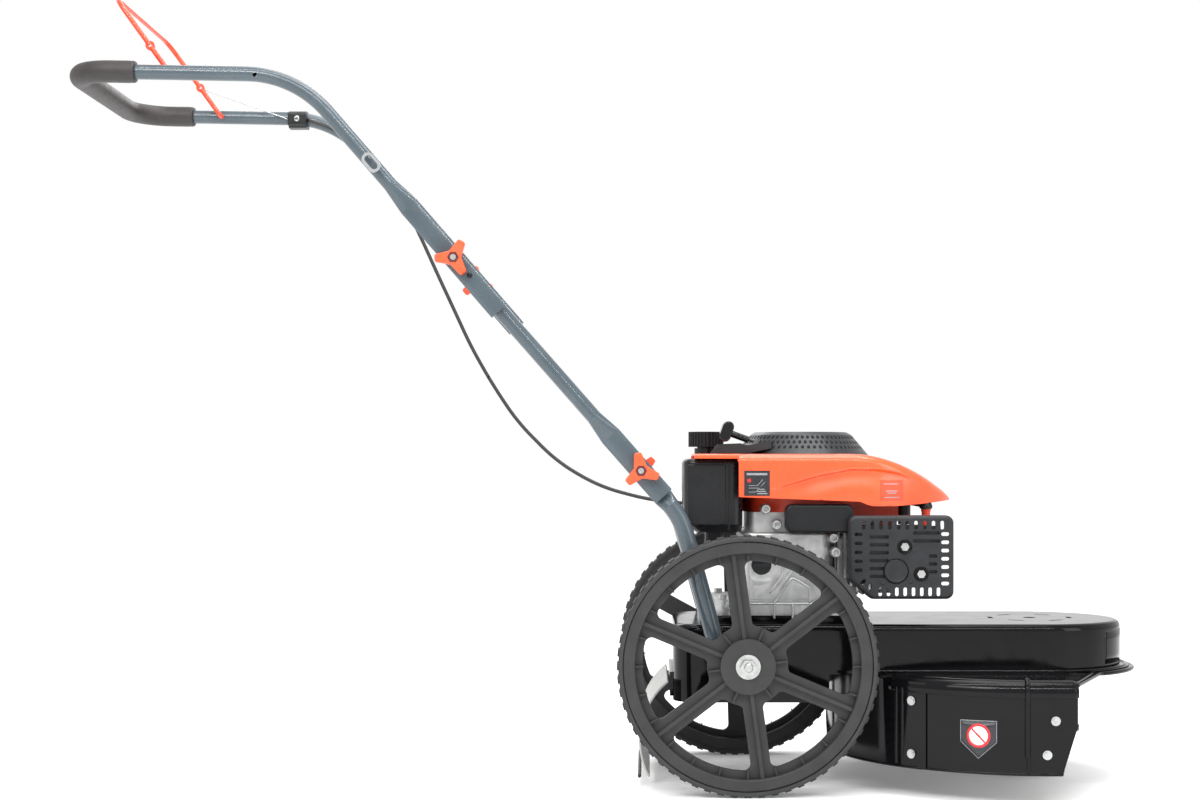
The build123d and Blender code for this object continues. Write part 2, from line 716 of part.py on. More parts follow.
def shroud():
    with BuildPart() as inside:
        shroud_solid(2.5)
    with BuildPart() as cowl:
        shroud_solid(0.0)
        add(inside.part, mode=Mode.SUBTRACT)
        with BuildSketch(Plane.XY.offset(SHROUD_TOP)):
            with Locations((CRANK_X, 0)):
                Circle(100.6)
        extrude(amount=-14, mode=Mode.SUBTRACT)
        with BuildSketch(Plane.XY.offset(SHROUD_TOP)):
            with Locations((CAP_X, 5)):
                Circle(20)
        extrude(amount=-6, mode=Mode.SUBTRACT)
        with BuildSketch(Plane.XY.offset(SHROUD_BOTTOM - 1)):
            with Locations((AXLE_X - 72, 0)):
                Rectangle(134, 260)
        extrude(amount=462 - SHROUD_BOTTOM, mode=Mode.SUBTRACT)
        with BuildSketch(Plane.XY.offset(FAN_FLOOR)):
            with Locations((CRANK_X, 0)):
                Circle(86)
                Circle(83, mode=Mode.SUBTRACT)
        extrude(amount=450 - FAN_FLOOR)
        with BuildSketch(Plane.XY.offset(FAN_FLOOR)):
            with Locations((CRANK_X, 0)):
                Circle(85)
                Circle(16, mode=Mode.SUBTRACT)
        extrude(amount=3)
        with BuildSketch(Plane.XY.offset(420)):
            with Locations((AXLE_X + 231, 0)):
                Rectangle(118, 3)
            with Locations((AXLE_X + 60, 100), (AXLE_X + 60, -100)):
                Rectangle(3, 32)
        extrude(amount=24)
    save(cowl, "engine_shroud")


def recoil_parts():
    low_r = 100.0
    top_r = 71.0
    base = SHROUD_TOP - 5.0
    sheet = 2.5
    with BuildPart() as cover:
        with BuildSketch(Plane.XZ):
            with BuildLine():
                Polyline((CRANK_X, COVER_TOP), (CRANK_X + top_r - 4, COVER_TOP),
                         (CRANK_X + top_r + 3, COVER_TOP - 4), (CRANK_X + low_r, base + 2),
                         (CRANK_X + low_r, base), (CRANK_X + low_r - 4, base),
                         (CRANK_X + top_r, COVER_TOP - 4 - sheet),
                         (CRANK_X + top_r - 5, COVER_TOP - sheet), (CRANK_X, COVER_TOP - sheet),
                         close=True)
            make_face()
        revolve(axis=Axis((CRANK_X, 0, 0), (0, 0, 1)))
        with BuildSketch(Plane.XZ.offset(46)):
            with BuildLine():
                Polyline((AXLE_X - 47, SHROUD_TOP + 0.2), (AXLE_X - 40, 477), (AXLE_X - 36, 481),
                         (AXLE_X - 4, 482.4), (AXLE_X + 4, 480), (AXLE_X + 10, 480),
                         (AXLE_X + 40, 486), (AXLE_X + 40, SHROUD_TOP + 8),
                         (AXLE_X + 2, SHROUD_TOP + 0.2), close=True)
            make_face()
        extrude(amount=34)
        with BuildSketch(Plane.XY.offset(SHROUD_TOP)):
            with Locations((CRANK_X, 0)):
                for ring, (radius, count) in enumerate(((77, 66), (83, 66), (89, 66))):
                    with PolarLocations(radius, count, start_angle=2.73 * (ring % 2)):
                        Circle(2.1)
            with Locations((AXLE_X - 10, -62)):
                Rectangle(66, 40, mode=Mode.SUBTRACT)
        extrude(amount=40, mode=Mode.SUBTRACT)
        with BuildSketch(Plane.XY.offset(SHROUD_TOP - 1)):
            with Locations((CRANK_X, 0)):
                Circle(8)
        extrude(amount=COVER_TOP - sheet - SHROUD_TOP + 1)
    save(cover, "recoil_cover")
    pull = Vector(-0.94, 0, 0.342).normalized()
    mouth = Vector(AXLE_X + 12, -62, 486)
    with BuildPart() as reel:
        with BuildSketch(Plane.XY.offset(470)):
            with Locations((CRANK_X, 0)):
                Circle(54)
        extrude(amount=16)
        with BuildSketch(Plane.XY.offset(473)):
            with Locations((CRANK_X, 0)):
                Circle(60)
                Circle(40, mode=Mode.SUBTRACT)
        extrude(amount=10, mode=Mode.SUBTRACT)
        with BuildSketch(Plane.XY.offset(470)):
            with Locations((CRANK_X, 0)):
                Circle(8 + RUNNING_GAP)
        extrude(amount=16, mode=Mode.SUBTRACT)
    save(reel, "recoil_reel")
    with BuildPart() as flywheel:
        with BuildSketch(Plane.XY.offset(392)):
            with Locations((CRANK_X, 0)):
                Circle(78)
                Circle(13, mode=Mode.SUBTRACT)
        extrude(amount=16)
        with BuildSketch(Plane.XY.offset(408)):
            with Locations((CRANK_X, 0)):
                with PolarLocations(62, 18):
                    Rectangle(26, 3, rotation=20)
        extrude(amount=30)
    save(flywheel, "flywheel")
    centre = mouth + pull * 38
    with BuildPart() as grip:
        with BuildSketch(Plane(origin=(centre.X, -32, centre.Z), x_dir=(0.342, 0, 0.94),
                               z_dir=(0, -1, 0))):
            SlotCenterToCenter(14, 16)
        extrude(amount=60)
        fillet(grip.faces().filter_by(Axis.Y).edges(), 2.5)
        with BuildSketch(Plane(origin=(mouth + pull * 4), z_dir=pull)):
            Circle(4.8)
        extrude(amount=30)
    save(grip, "starter_grip")
    with BuildPart() as rope:
        with BuildSketch(Plane(origin=(mouth - pull * 3.5), z_dir=pull)):
            Circle(2.0)
        extrude(amount=7.3)
    save(rope, "starter_rope")


def tank_parts():
    with BuildPart() as tank:
        with BuildSketch(Plane.XY.offset(367)):
            with Locations((TANK_X, -13)):
                RectangleRounded(84, 170, 16)
        extrude(amount=460.5 - 367)
        fillet(tank.faces().sort_by(Axis.Z)[-1].edges(), 8)
        with BuildSketch(Plane.XY.offset(367)):
            with Locations((TANK_X, -13)):
                RectangleRounded(84, 170, 16)
        with BuildSketch(Plane.XY.offset(356)):
            with Locations((TANK_X + 8, -13)):
                RectangleRounded(64, 150, 12)
        loft()
        with BuildSketch(Plane.XY.offset(356)):
            with Locations((TANK_X + 2, -60)):
                RectangleRounded(26, 24, 6)
        extrude(amount=-18)
        with BuildSketch(Plane.XY.offset(460)):
            with Locations((CAP_X, 5)):
                Circle(17)
        extrude(amount=16)
        with BuildSketch(Plane.XY.offset(476)):
            with Locations((CAP_X, 5)):
                Circle(13)
        extrude(amount=-30, mode=Mode.SUBTRACT)
        with BuildSketch(Plane.XY.offset(372)):
            with Locations((TANK_X, -13)):
                RectangleRounded(78, 164, 13)
        extrude(amount=84, mode=Mode.SUBTRACT)
    save(tank, "fuel_tank")
    with BuildPart() as cap:
        with BuildSketch(Plane.XY.offset(478)):
            with Locations((CAP_X, 5)):
                Circle(24.2)
                with PolarLocations(24.2, 30):
                    Circle(1.6)
        extrude(amount=22)
        fillet(cap.faces().sort_by(Axis.Z)[-1].edges().filter_by(GeomType.CIRCLE), 0.6)
        with BuildSketch(Plane.XY.offset(478)):
            with Locations((CAP_X, 5)):
                Circle(12.95)
        extrude(amount=-14)
    save(cap, "fuel_cap")


def air_box():
    with BuildPart() as box:
        with BuildSketch(outward(-1, 88, AXLE_X + 106, 376)):
            RectangleRounded(96, 40, 10)
        extrude(amount=26)
        fillet(box.faces().sort_by(Axis.Y)[0].edges(), 4)
    save(box, "air_box")
    with BuildPart() as carb:
        with BuildSketch(outward(1, 84.2, AXLE_X + 84, 366)):
            RectangleRounded(44, 36, 6)
        extrude(amount=26)
        with BuildSketch(outward(1, 110.2, AXLE_X + 84, 366)):
            Circle(14)
        extrude(amount=5)
    save(carb, "carburettor")


def brake_parts():
    """Lever on the engine's left that the bail pulls through the cable."""
    with BuildPart() as lever:
        with BuildSketch(outward(1, 94, BRAKE_X, BRAKE_Z)):
            with Locations((0, 8)):
                SlotOverall(34, 14, rotation=90)
            Circle(4 + RUNNING_GAP, mode=Mode.SUBTRACT)
        extrude(amount=5)
    save(lever, "brake_lever")


# ---------------------------------------------------------------- handle
def flat_end(y, semi, start, direction, length):
    """Pressed-flat tube end: an oval bar along a direction in XZ."""
    with BuildSketch(across(direction, start, y)) as oval:
        Ellipse(FLAT_HALF, semi)
    extrude(oval.sketch, amount=length)


def tube_loft(start_plane, radius, end_plane, semi):
    with BuildSketch(start_plane) as full:
        Circle(radius)
    with BuildSketch(end_plane) as pressed:
        Ellipse(FLAT_HALF, semi)
    loft([full.sketch.face(), pressed.sketch.face()])


def bolt_hole(at, y, radius):
    with BuildSketch(Plane.XZ.offset(-y - 30)) as hole:
        with Locations((at.X, at.Z)):
            Circle(radius)
    extrude(hole.sketch, amount=60, mode=Mode.SUBTRACT)


TUBE_JOINTS = {
    "upper": (UPPER_BOLT, MID_Y - MID_R, UPPER_Y + FLAT_HALF, 62.5),
    "lower": (LOWER_BOLT, LOW_Y - FLAT_HALF, MID_FLAT_Y + FLAT_HALF, 101.0),
}
FAR_LOBES = {"upper": 81.0, "lower": 135.0}
UPPER_CORNER = Vector(AXLE_X - 621.0, 0, 988.5)
UPPER_DIR = heading(UPPER_CORNER, UPPER_BOLT)
BACK_POINT = Vector(HANDLE_BACK, 0, 994.0)
SIDE_BEND = 149.0
LOOP_BEND = 55.0


def upper_handle():
    round_end = UPPER_CORNER + UPPER_DIR * 200
    flat_start = UPPER_CORNER + UPPER_DIR * 240
    flat_stop = 430 - 240
    points = [(p.X, side * UPPER_Y, p.Z) for side, p in
              ((-1, round_end), (-1, UPPER_CORNER), (-1, BACK_POINT), (1, BACK_POINT),
               (1, UPPER_CORNER), (1, round_end))]
    with BuildPart() as handle:
        with BuildLine() as route:
            FilletPolyline(*points, radius=[SIDE_BEND, LOOP_BEND, LOOP_BEND, SIDE_BEND])
        with BuildSketch(Plane(origin=points[0], z_dir=(UPPER_DIR * -1))):
            Circle(PIPE_R)
            Circle(PIPE_R - WALL, mode=Mode.SUBTRACT)
        sweep(path=route.line)
        for _, sign in SIDES:
            y = sign * UPPER_Y
            tube_loft(across(UPPER_DIR, round_end, y), PIPE_R, across(UPPER_DIR, flat_start, y), 14.5)
            flat_end(y, 14.5, flat_start, UPPER_DIR, flat_stop)
            bolt_hole(UPPER_BOLT, y, BOLT_R + RUNNING_GAP)
            if sign < 0:
                bolt_hole(Vector(AXLE_X - 675, 0, 986.8), y, ACCESSORY_R)
            with BuildSketch(Plane.XZ.offset(-sign * (UPPER_Y - PIPE_R - 1))):
                with Locations((BAIL_X, BAIL_Z)):
                    Circle(BAIL_R + RUNNING_GAP)
            extrude(amount=-sign * 8, mode=Mode.SUBTRACT)
    save(handle, "upper_handle")


def foam_grip():
    grip_start = AXLE_X - 840.0
    rise = (BACK_POINT.Z - UPPER_CORNER.Z) / (UPPER_CORNER.X - BACK_POINT.X)
    start_z = BACK_POINT.Z - rise * (grip_start - BACK_POINT.X)
    points = [(grip_start, -UPPER_Y, start_z), (BACK_POINT.X, -UPPER_Y, BACK_POINT.Z),
              (BACK_POINT.X, UPPER_Y, BACK_POINT.Z), (grip_start, UPPER_Y, start_z)]
    way = Vector(BACK_POINT.X - grip_start, 0, BACK_POINT.Z - start_z)
    with BuildPart() as grip:
        with BuildLine() as route:
            FilletPolyline(*points, radius=LOOP_BEND)
        with BuildSketch(Plane(origin=points[0], z_dir=way)):
            Circle(GRIP_R)
            Circle(PIPE_R, mode=Mode.SUBTRACT)
        sweep(path=route.line)
    save(grip, "foam_grip")


def mid_tubes():
    length = hypot(LOWER_BOLT.X - UPPER_BOLT.X, LOWER_BOLT.Z - UPPER_BOLT.Z)
    start = UPPER_BOLT - MID_DIR * 30
    round_end = UPPER_BOLT + MID_DIR * (length - 99)
    flat_start = UPPER_BOLT + MID_DIR * (length - 64)
    for side, sign in SIDES:
        with BuildPart() as tube:
            with BuildSketch(across(MID_DIR, start, sign * MID_Y)):
                Circle(MID_R)
                Circle(MID_R - WALL, mode=Mode.SUBTRACT)
            extrude(amount=30 + length - 99)
            tube_loft(across(MID_DIR, round_end, sign * MID_Y), MID_R,
                      across(MID_DIR, flat_start, sign * MID_FLAT_Y), 15.0)
            flat_end(sign * MID_FLAT_Y, 15.0, flat_start, MID_DIR, 64 + 47)
            bolt_hole(UPPER_BOLT, sign * MID_Y, BOLT_R)
            bolt_hole(LOWER_BOLT, sign * MID_FLAT_Y, BOLT_R + RUNNING_GAP)
        save(tube, f"mid_tube_{side}")


LOW_DIR = Vector(cos(radians(50)), 0, -sin(radians(50)))
LOW_CORNER = LOWER_BOLT + LOW_DIR * 86
LOW_END = Vector(AXLE_X - 26.4, 0, 150.4)


def lower_tube(side, sign):
    y = sign * LOW_Y
    flat_start = LOWER_BOLT - LOW_DIR * 22
    flat_stop = LOWER_BOLT + LOW_DIR * 48
    round_start = LOWER_BOLT + LOW_DIR * 62
    with BuildPart() as tube:
        with BuildLine() as route:
            FilletPolyline((round_start.X, y, round_start.Z), (LOW_CORNER.X, y, LOW_CORNER.Z),
                           (LOW_END.X, y, LOW_END.Z), radius=100)
        with BuildSketch(across(LOW_DIR, round_start, y)):
            Circle(LOW_R)
            Circle(LOW_R - WALL, mode=Mode.SUBTRACT)
        sweep(path=route.line)
        tube_loft(across(LOW_DIR, round_start, y), LOW_R, across(LOW_DIR, flat_stop, y), 14.0)
        flat_end(y, 14.0, flat_start, LOW_DIR, 70)
        bolt_hole(LOWER_BOLT, y, BOLT_R)
    save(tube, f"lower_tube_{side}")


def handle_brackets():
    """Saddles that clamp the feet of the lower tubes to the deck walls."""
    saddles = [handle_saddle(sign) for _, sign in SIDES]
    with BuildPart() as brackets:
        for saddle in saddles:
            add(saddle.part)
    save(brackets, "handle_brackets")


def handle_saddle(sign):
    foot = heading(LOW_CORNER, LOW_END)
    mid = LOW_END - foot * 26
    with BuildPart() as bracket:
        with BuildSketch(across(foot, mid, sign * (HOUSING_R + 8))):
            Rectangle(14, 44)
        extrude(amount=24)
        with BuildSketch(across(foot, mid, sign * LOW_Y)):
            Circle(LOW_R)
        extrude(amount=24, mode=Mode.SUBTRACT)
    with BuildPart() as wall:
        with BuildSketch(outward(sign, 0, AXLE_X, 0)):
            Rectangle(900, 900)
        extrude(amount=HOUSING_R + 0.05)
    with BuildPart() as trimmed:
        add(bracket.part)
        add(wall.part, mode=Mode.SUBTRACT)
        with BuildSketch(outward(sign, 0, AXLE_X, AXLE_Z)):
            Circle(AXLE_R + 4.3)
        extrude(amount=400, mode=Mode.SUBTRACT)
    return trimmed


def carriage_bolts(level):
    """Bolts through one pair of tube joints, heads inside, tips outside."""
    at, inner, outer, _ = TUBE_JOINTS[level]
    for _, sign in SIDES:
        with BuildSketch(outward(sign, inner - 5.2, at.X, at.Z)) as head:
            Circle(9.5)
        extrude(head.sketch, amount=5)
        with BuildSketch(outward(sign, inner - 1, at.X, at.Z)) as shank:
            Circle(BOLT_R)
        extrude(shank.sketch, amount=outer + 15 - inner)


def hex_heads(plane, spots, radius, length):
    with BuildSketch(plane) as heads:
        with Locations(*spots):
            RegularPolygon(radius, 6)
    extrude(heads.sketch, amount=length)


def fasteners():
    """Zinc bolts of the deck, shields, guard and lower tube joints, as separate solids."""
    bolt_x = AXLE_X + 222.0
    spots = ((SHIELD_R, AXLE_X + 403, 113), (SHIELD_R, AXLE_X + 392, 68),
             (SKIRT_R, bolt_x, 60), (SKIRT_R, bolt_x, 132))
    feet = [(AXLE_X + x, y) for x in (-30, 137.5) for y in (-76, 76)]
    spindle = [(HEAD_X + x, y) for x in (-26, 26) for y in (-26, 26)]
    with BuildPart() as bolts:
        for _, sign in SIDES:
            for radius, x, z in spots:
                spot = ring_spot(radius + 0.1, x, z, sign)
                with BuildSketch(spot):
                    Circle(6.2)
                extrude(amount=2.2)
                with BuildSketch(spot):
                    Circle(4.4)
                extrude(amount=3.6)
        hex_heads(Plane.XY.offset(ENGINE_BASE + 22.05), feet, 6, 6)
        hex_heads(Plane.XY.offset(PLATE_BOTTOM - 6.05), spindle, 6, -4)
        with BuildSketch(outward(-1, 111.5, GUARD_X, GUARD_Z)):
            with Locations(*GUARD_SCREWS):
                Circle(4)
        extrude(amount=24.6)
        hex_heads(outward(-1, 136.1, GUARD_X, GUARD_Z), GUARD_SCREWS, 6, 3.5)
        carriage_bolts("lower")
        for _, sign in SIDES:
            with BuildSketch(outward(sign, WHEEL_Y + 21.4, AXLE_X, AXLE_Z)):
                Circle(16.8)
                Circle(AXLE_R, mode=Mode.SUBTRACT)
            extrude(amount=2.0)
            with BuildSketch(outward(sign, WHEEL_Y + 23.4, AXLE_X, AXLE_Z)):
                RegularPolygon(11.0, 6)
                Circle(AXLE_R, mode=Mode.SUBTRACT)
            extrude(amount=9.0)
    save(bolts, "zinc_fasteners")
    with BuildPart() as upper:
        carriage_bolts("upper")
    save(upper, "handle_bolts")


def star_knobs():
    for level, (at, _, outer, turn) in TUBE_JOINTS.items():
        for side, sign in SIDES:
            lobe = turn if sign < 0 else FAR_LOBES[level]
            star_knob(f"{level}_knob_{side}", outward(sign, outer + 0.4, at.X, at.Z), lobe)


def star_knob(name, face, turn):
    tip_r = 24.0
    waist_r = 10.5
    corners = []
    for lobe in range(3):
        angle = turn + 120 * lobe
        corners.append((tip_r + 2, angle - 11))
        corners.append((tip_r + 2, angle + 11))
        corners.append((waist_r, angle + 60))
    points = [(r * cos(radians(a)), r * sin(radians(a))) for r, a in corners]
    with BuildPart() as knob:
        with BuildSketch(face.offset(2)) as star:
            with BuildLine():
                Polyline(*points, close=True)
            make_face()
            fillet(star.vertices(), 3.2)
        extrude(amount=11)
        fillet(knob.faces().sort_by(Axis.Y)[0 if face.z_dir.Y < 0 else -1].edges(), 1.4)
        with BuildSketch(face):
            Circle(10)
        extrude(amount=5)
        with BuildSketch(face.offset(13)):
            RegularPolygon(6.8, 6, rotation=turn)
        extrude(amount=-6, mode=Mode.SUBTRACT)
        with BuildSketch(face):
            Circle(BOLT_R + RUNNING_GAP)
        extrude(amount=20, mode=Mode.SUBTRACT)
    save(knob, name)


def bail():
    top = Vector(AXLE_X - 876.0, 0, 1102.0)
    pin_y = UPPER_Y - 5
    points = [(BAIL_X, -pin_y, BAIL_Z), (BAIL_X, -BAIL_Y, BAIL_Z), (top.X, -BAIL_Y, top.Z),
              (top.X, BAIL_Y, top.Z), (BAIL_X, BAIL_Y, BAIL_Z), (BAIL_X, pin_y, BAIL_Z)]
    with BuildPart() as rod:
        with BuildLine() as route:
            FilletPolyline(*points, radius=[4.5, 30, 30, 4.5])
        with BuildSketch(Plane(origin=points[0], x_dir=(1, 0, 0), z_dir=(0, 1, 0))):
            Circle(BAIL_R)
        sweep(path=route.line)
        eye = Vector(AXLE_X - 826.0, 0, 1033.0)
        for _, sign in SIDES:
            with BuildSketch(outward(sign, BAIL_Y - 2, eye.X, eye.Z)):
                Circle(6.5)
            extrude(amount=4)
            with BuildSketch(outward(sign, BAIL_Y - 6, eye.X, eye.Z)):
                Circle(2.2)
            extrude(amount=12, mode=Mode.SUBTRACT)
    save(rod, "bail")


def cable_parts():
    clamp_x = AXLE_X - 678.0
    clamp_z = 986.5
    with BuildPart() as clamp:
        with BuildSketch(Plane.YZ.offset(clamp_x - 14)):
            with Locations((UPPER_Y, clamp_z)):
                RectangleRounded(27, 26, 6)
            with Locations((UPPER_Y - 13.5, clamp_z)):
                RectangleRounded(13, 20, 4)
        extrude(amount=28)
    beyond = UPPER_CORNER + UPPER_DIR * 200
    with BuildPart() as pipe:
        with BuildLine() as route:
            FilletPolyline(*[(p.X, UPPER_Y, p.Z) for p in (BACK_POINT, UPPER_CORNER, beyond)],
                           radius=SIDE_BEND)
        with BuildSketch(Plane(origin=route.line @ 0, z_dir=route.line % 0)):
            Circle(PIPE_R + 0.02)
        sweep(path=route.line)
    with BuildPart() as bracket:
        add(clamp.part)
        add(pipe.part, mode=Mode.SUBTRACT)
        with BuildSketch(Plane.YZ.offset(clamp_x - 20)):
            with Locations((UPPER_Y - 13.5, clamp_z)):
                Circle(1.2)
        extrude(amount=40, mode=Mode.SUBTRACT)
    save(bracket, "cable_bracket")
    cable_route()


# Middle line of the brake cable from its bracket to the engine, X from the axle.
CABLE_R = 2.75
CABLE_POINTS = ((-662.6, 157.5, 985.5), (-620, 157.5, 971), (-581, 157.5, 941), (-538, 157.2, 892),
                (-507, 155.5, 845), (-484, 152, 798), (-459, 147.5, 743), (-434, 143, 690),
                (-408, 138.5, 634), (-376, 133, 578), (-336, 126, 518), (-274, 115, 456),
                (-208, 106, 418), (-131, 100, 398), (-60, 97.8, 391.5), (14, 96.5, 397.5))


def route_radii(points):
    """Largest even bend for each corner: 0.45 of the shorter run, over tan of half the turn."""
    radii = []
    for before, here, after in zip(points, points[1:], points[2:]):
        arriving = Vector(*here) - Vector(*before)
        leaving = Vector(*after) - Vector(*here)
        turn = arriving.get_angle(leaving)
        shorter = min(arriving.length, leaving.length)
        radii.append(0.45 * shorter / tan(radians(turn / 2)))
    return radii


def cable_route():
    points = [(AXLE_X + x, y, z) for x, y, z in CABLE_POINTS]
    radii = route_radii(points)
    print("cable bends:", [round(r, 1) for r in radii])
    with BuildPart() as sheath:
        with BuildLine() as route:
            FilletPolyline(*points, radius=radii)
        with BuildSketch(Plane(origin=route.line @ 0, z_dir=route.line % 0)):
            Circle(CABLE_R)
        sweep(path=route.line)
    length = sum(edge.length for edge in route.edges())
    solid = pi * CABLE_R ** 2 * length
    print("cable length", round(length, 1), "volume ratio", round(sheath.part.volume / solid, 4))
    save(sheath, "cable_sheath")
    eye = Vector(AXLE_X - 826.0, BAIL_Y + 5.2, 1033.0)
    entry = Vector(AXLE_X - 692.4, UPPER_Y - 13.5, 986.5)
    with BuildPart() as wire:
        way = entry - eye
        with BuildSketch(Plane(origin=eye, z_dir=way)):
            Circle(0.9)
        extrude(amount=way.length)
    save(wire, "inner_wire")


def rope_guide():
    """Chromed eye on the right-hand tube that parks the starter rope."""
    centre = UPPER_CORNER + UPPER_DIR * 164
    skin = UPPER_Y + PIPE_R + 0.05
    with BuildPart() as eye:
        with BuildSketch(Plane(origin=(centre.X, -skin - 8, centre.Z), x_dir=UPPER_DIR,
                               z_dir=(0, -1, 0))):
            SlotOverall(30, 18)
            SlotOverall(22, 10, mode=Mode.SUBTRACT)
        extrude(amount=4)
        with BuildSketch(Plane(origin=(centre.X, -skin, centre.Z), x_dir=UPPER_DIR,
                               z_dir=(0, -1, 0))):
            with Locations((-13, 0), (13, 0)):
                Circle(1.9)
        extrude(amount=9)
    save(eye, "rope_guide")


def main():
    for side, sign in SIDES:
        wheel_rim(f"wheel_rim_{side}", sign)
        tyre(f"tyre_{side}", sign)
        lower_tube(side, sign)
    mid_tubes()
    handle_brackets()
    axle_parts()
    deck_housing()
    deck_plate()
    skirt_parts()
    rear_flap()
    pulley("engine_pulley", CRANK_X, ENGINE_PULLEY_R, 13.0)
    pulley("head_pulley", HEAD_X, HEAD_PULLEY_R, 10.0)
    belt()
    idler_parts()
    spindle_parts()
    crankcase()
    cylinder_parts()
    muffler_parts()
    shroud()
    recoil_parts()
    tank_parts()
    air_box()
    brake_parts()
    upper_handle()
    foam_grip()
    fasteners()
    star_knobs()
    bail()
    cable_parts()
    rope_guide()


main()
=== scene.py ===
"""Visual layer of the brush mower: finishes for every CAD piece and the details that CAD leaves out."""
import math

import bpy
import bmesh
from mathutils import Matrix, Vector


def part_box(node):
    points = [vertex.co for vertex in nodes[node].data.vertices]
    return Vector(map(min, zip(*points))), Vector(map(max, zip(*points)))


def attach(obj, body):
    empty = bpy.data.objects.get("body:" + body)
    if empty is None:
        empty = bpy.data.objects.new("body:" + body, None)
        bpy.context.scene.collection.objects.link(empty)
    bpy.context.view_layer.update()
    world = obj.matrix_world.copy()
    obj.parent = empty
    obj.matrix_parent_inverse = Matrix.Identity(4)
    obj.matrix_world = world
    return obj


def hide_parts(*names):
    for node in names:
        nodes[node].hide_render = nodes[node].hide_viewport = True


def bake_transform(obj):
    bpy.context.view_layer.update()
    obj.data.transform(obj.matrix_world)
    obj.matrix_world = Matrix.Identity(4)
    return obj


# Places shared by several sections, in the row frame: x forward, y to the left, z up from the floor.
AXLE_X = 0.187
CRANK_X = 0.275
HEAD_X = 0.610
RING_X = 0.593
SHIELD_R = 0.2775
TUBE_Y = 0.171
GUARD_FACE = -0.1360

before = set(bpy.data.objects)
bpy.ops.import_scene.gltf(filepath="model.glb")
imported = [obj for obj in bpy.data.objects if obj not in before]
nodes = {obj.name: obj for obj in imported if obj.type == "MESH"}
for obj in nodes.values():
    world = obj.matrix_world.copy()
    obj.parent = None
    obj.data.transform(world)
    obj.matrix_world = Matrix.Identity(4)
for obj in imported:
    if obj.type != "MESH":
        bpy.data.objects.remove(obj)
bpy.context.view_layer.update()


# ---------------------------------------------------------------- materials

def tint(code):
    """Linear colour of a hex code."""
    channels = [int(code[i:i + 2], 16) / 255 for i in (1, 3, 5)]
    return [c / 12.92 if c <= 0.04045 else ((c + 0.055) / 1.055) ** 2.4 for c in channels] + [1.0]


def link(tree, source, output, target, socket):
    tree.links.new(source.outputs[output], target.inputs[socket])


def noise(tree, coords, scale, detail=4.0, stretch=None):
    """Noise texture in object space; stretch squeezes it along some axes."""
    texture = tree.nodes.new("ShaderNodeTexNoise")
    texture.inputs["Scale"].default_value = scale
    texture.inputs["Detail"].default_value = detail
    if stretch:
        mapping = tree.nodes.new("ShaderNodeMapping")
        mapping.inputs["Scale"].default_value = stretch
        link(tree, coords, "Object", mapping, "Vector")
        link(tree, mapping, "Vector", texture, "Vector")
    else:
        link(tree, coords, "Object", texture, "Vector")
    return texture


def spread(tree, source, low, high, floor=0.3, ceiling=0.7):
    """Maps a noise's middle range to low..high."""
    mapped = tree.nodes.new("ShaderNodeMapRange")
    mapped.inputs["From Min"].default_value = floor
    mapped.inputs["From Max"].default_value = ceiling
    mapped.inputs["To Min"].default_value = low
    mapped.inputs["To Max"].default_value = high
    link(tree, source, "Fac", mapped, "Value")
    return mapped


def finish(name, base, other, rough, metal=0.0, coat=0.0, patch=25.0, grain=900.0, bump=0.05,
           depth=0.0002, rough_spread=0.06, stretch=None, waves=None, shine=0.5):
    """Procedural finish: two close shades in patches, uneven gloss and a fine surface grain."""
    material = bpy.data.materials.new(name)
    material.use_nodes = True
    tree = material.node_tree
    shader = tree.nodes["Principled BSDF"]
    shader.inputs["Metallic"].default_value = metal
    shader.inputs["Coat Weight"].default_value = coat
    shader.inputs["Coat Roughness"].default_value = 0.08
    shader.inputs["Specular IOR Level"].default_value = shine
    coords = tree.nodes.new("ShaderNodeTexCoord")
    patches = noise(tree, coords, patch, 5.0)
    mix = tree.nodes.new("ShaderNodeMix")
    mix.data_type = "RGBA"
    mix.inputs["A"].default_value = tint(base)
    mix.inputs["B"].default_value = tint(other)
    share = spread(tree, patches, 0.0, 1.0)
    link(tree, share, "Result", mix, "Factor")
    link(tree, mix, "Result", shader, "Base Color")
    smudge = noise(tree, coords, patch * 3.1, 6.0)
    gloss = spread(tree, smudge, max(0.02, rough - rough_spread), rough + rough_spread)
    link(tree, gloss, "Result", shader, "Roughness")
    texture = noise(tree, coords, grain, 3.0, stretch)
    relief = tree.nodes.new("ShaderNodeBump")
    relief.inputs["Strength"].default_value = bump
    relief.inputs["Distance"].default_value = depth
    link(tree, texture, "Fac", relief, "Height")
    if waves:
        swell = noise(tree, coords, waves[0], 2.0)
        slow = tree.nodes.new("ShaderNodeBump")
        slow.inputs["Strength"].default_value = waves[1]
        slow.inputs["Distance"].default_value = waves[2]
        link(tree, swell, "Fac", slow, "Height")
        link(tree, slow, "Normal", relief, "Normal")
    link(tree, relief, "Normal", shader, "Normal")
    return material


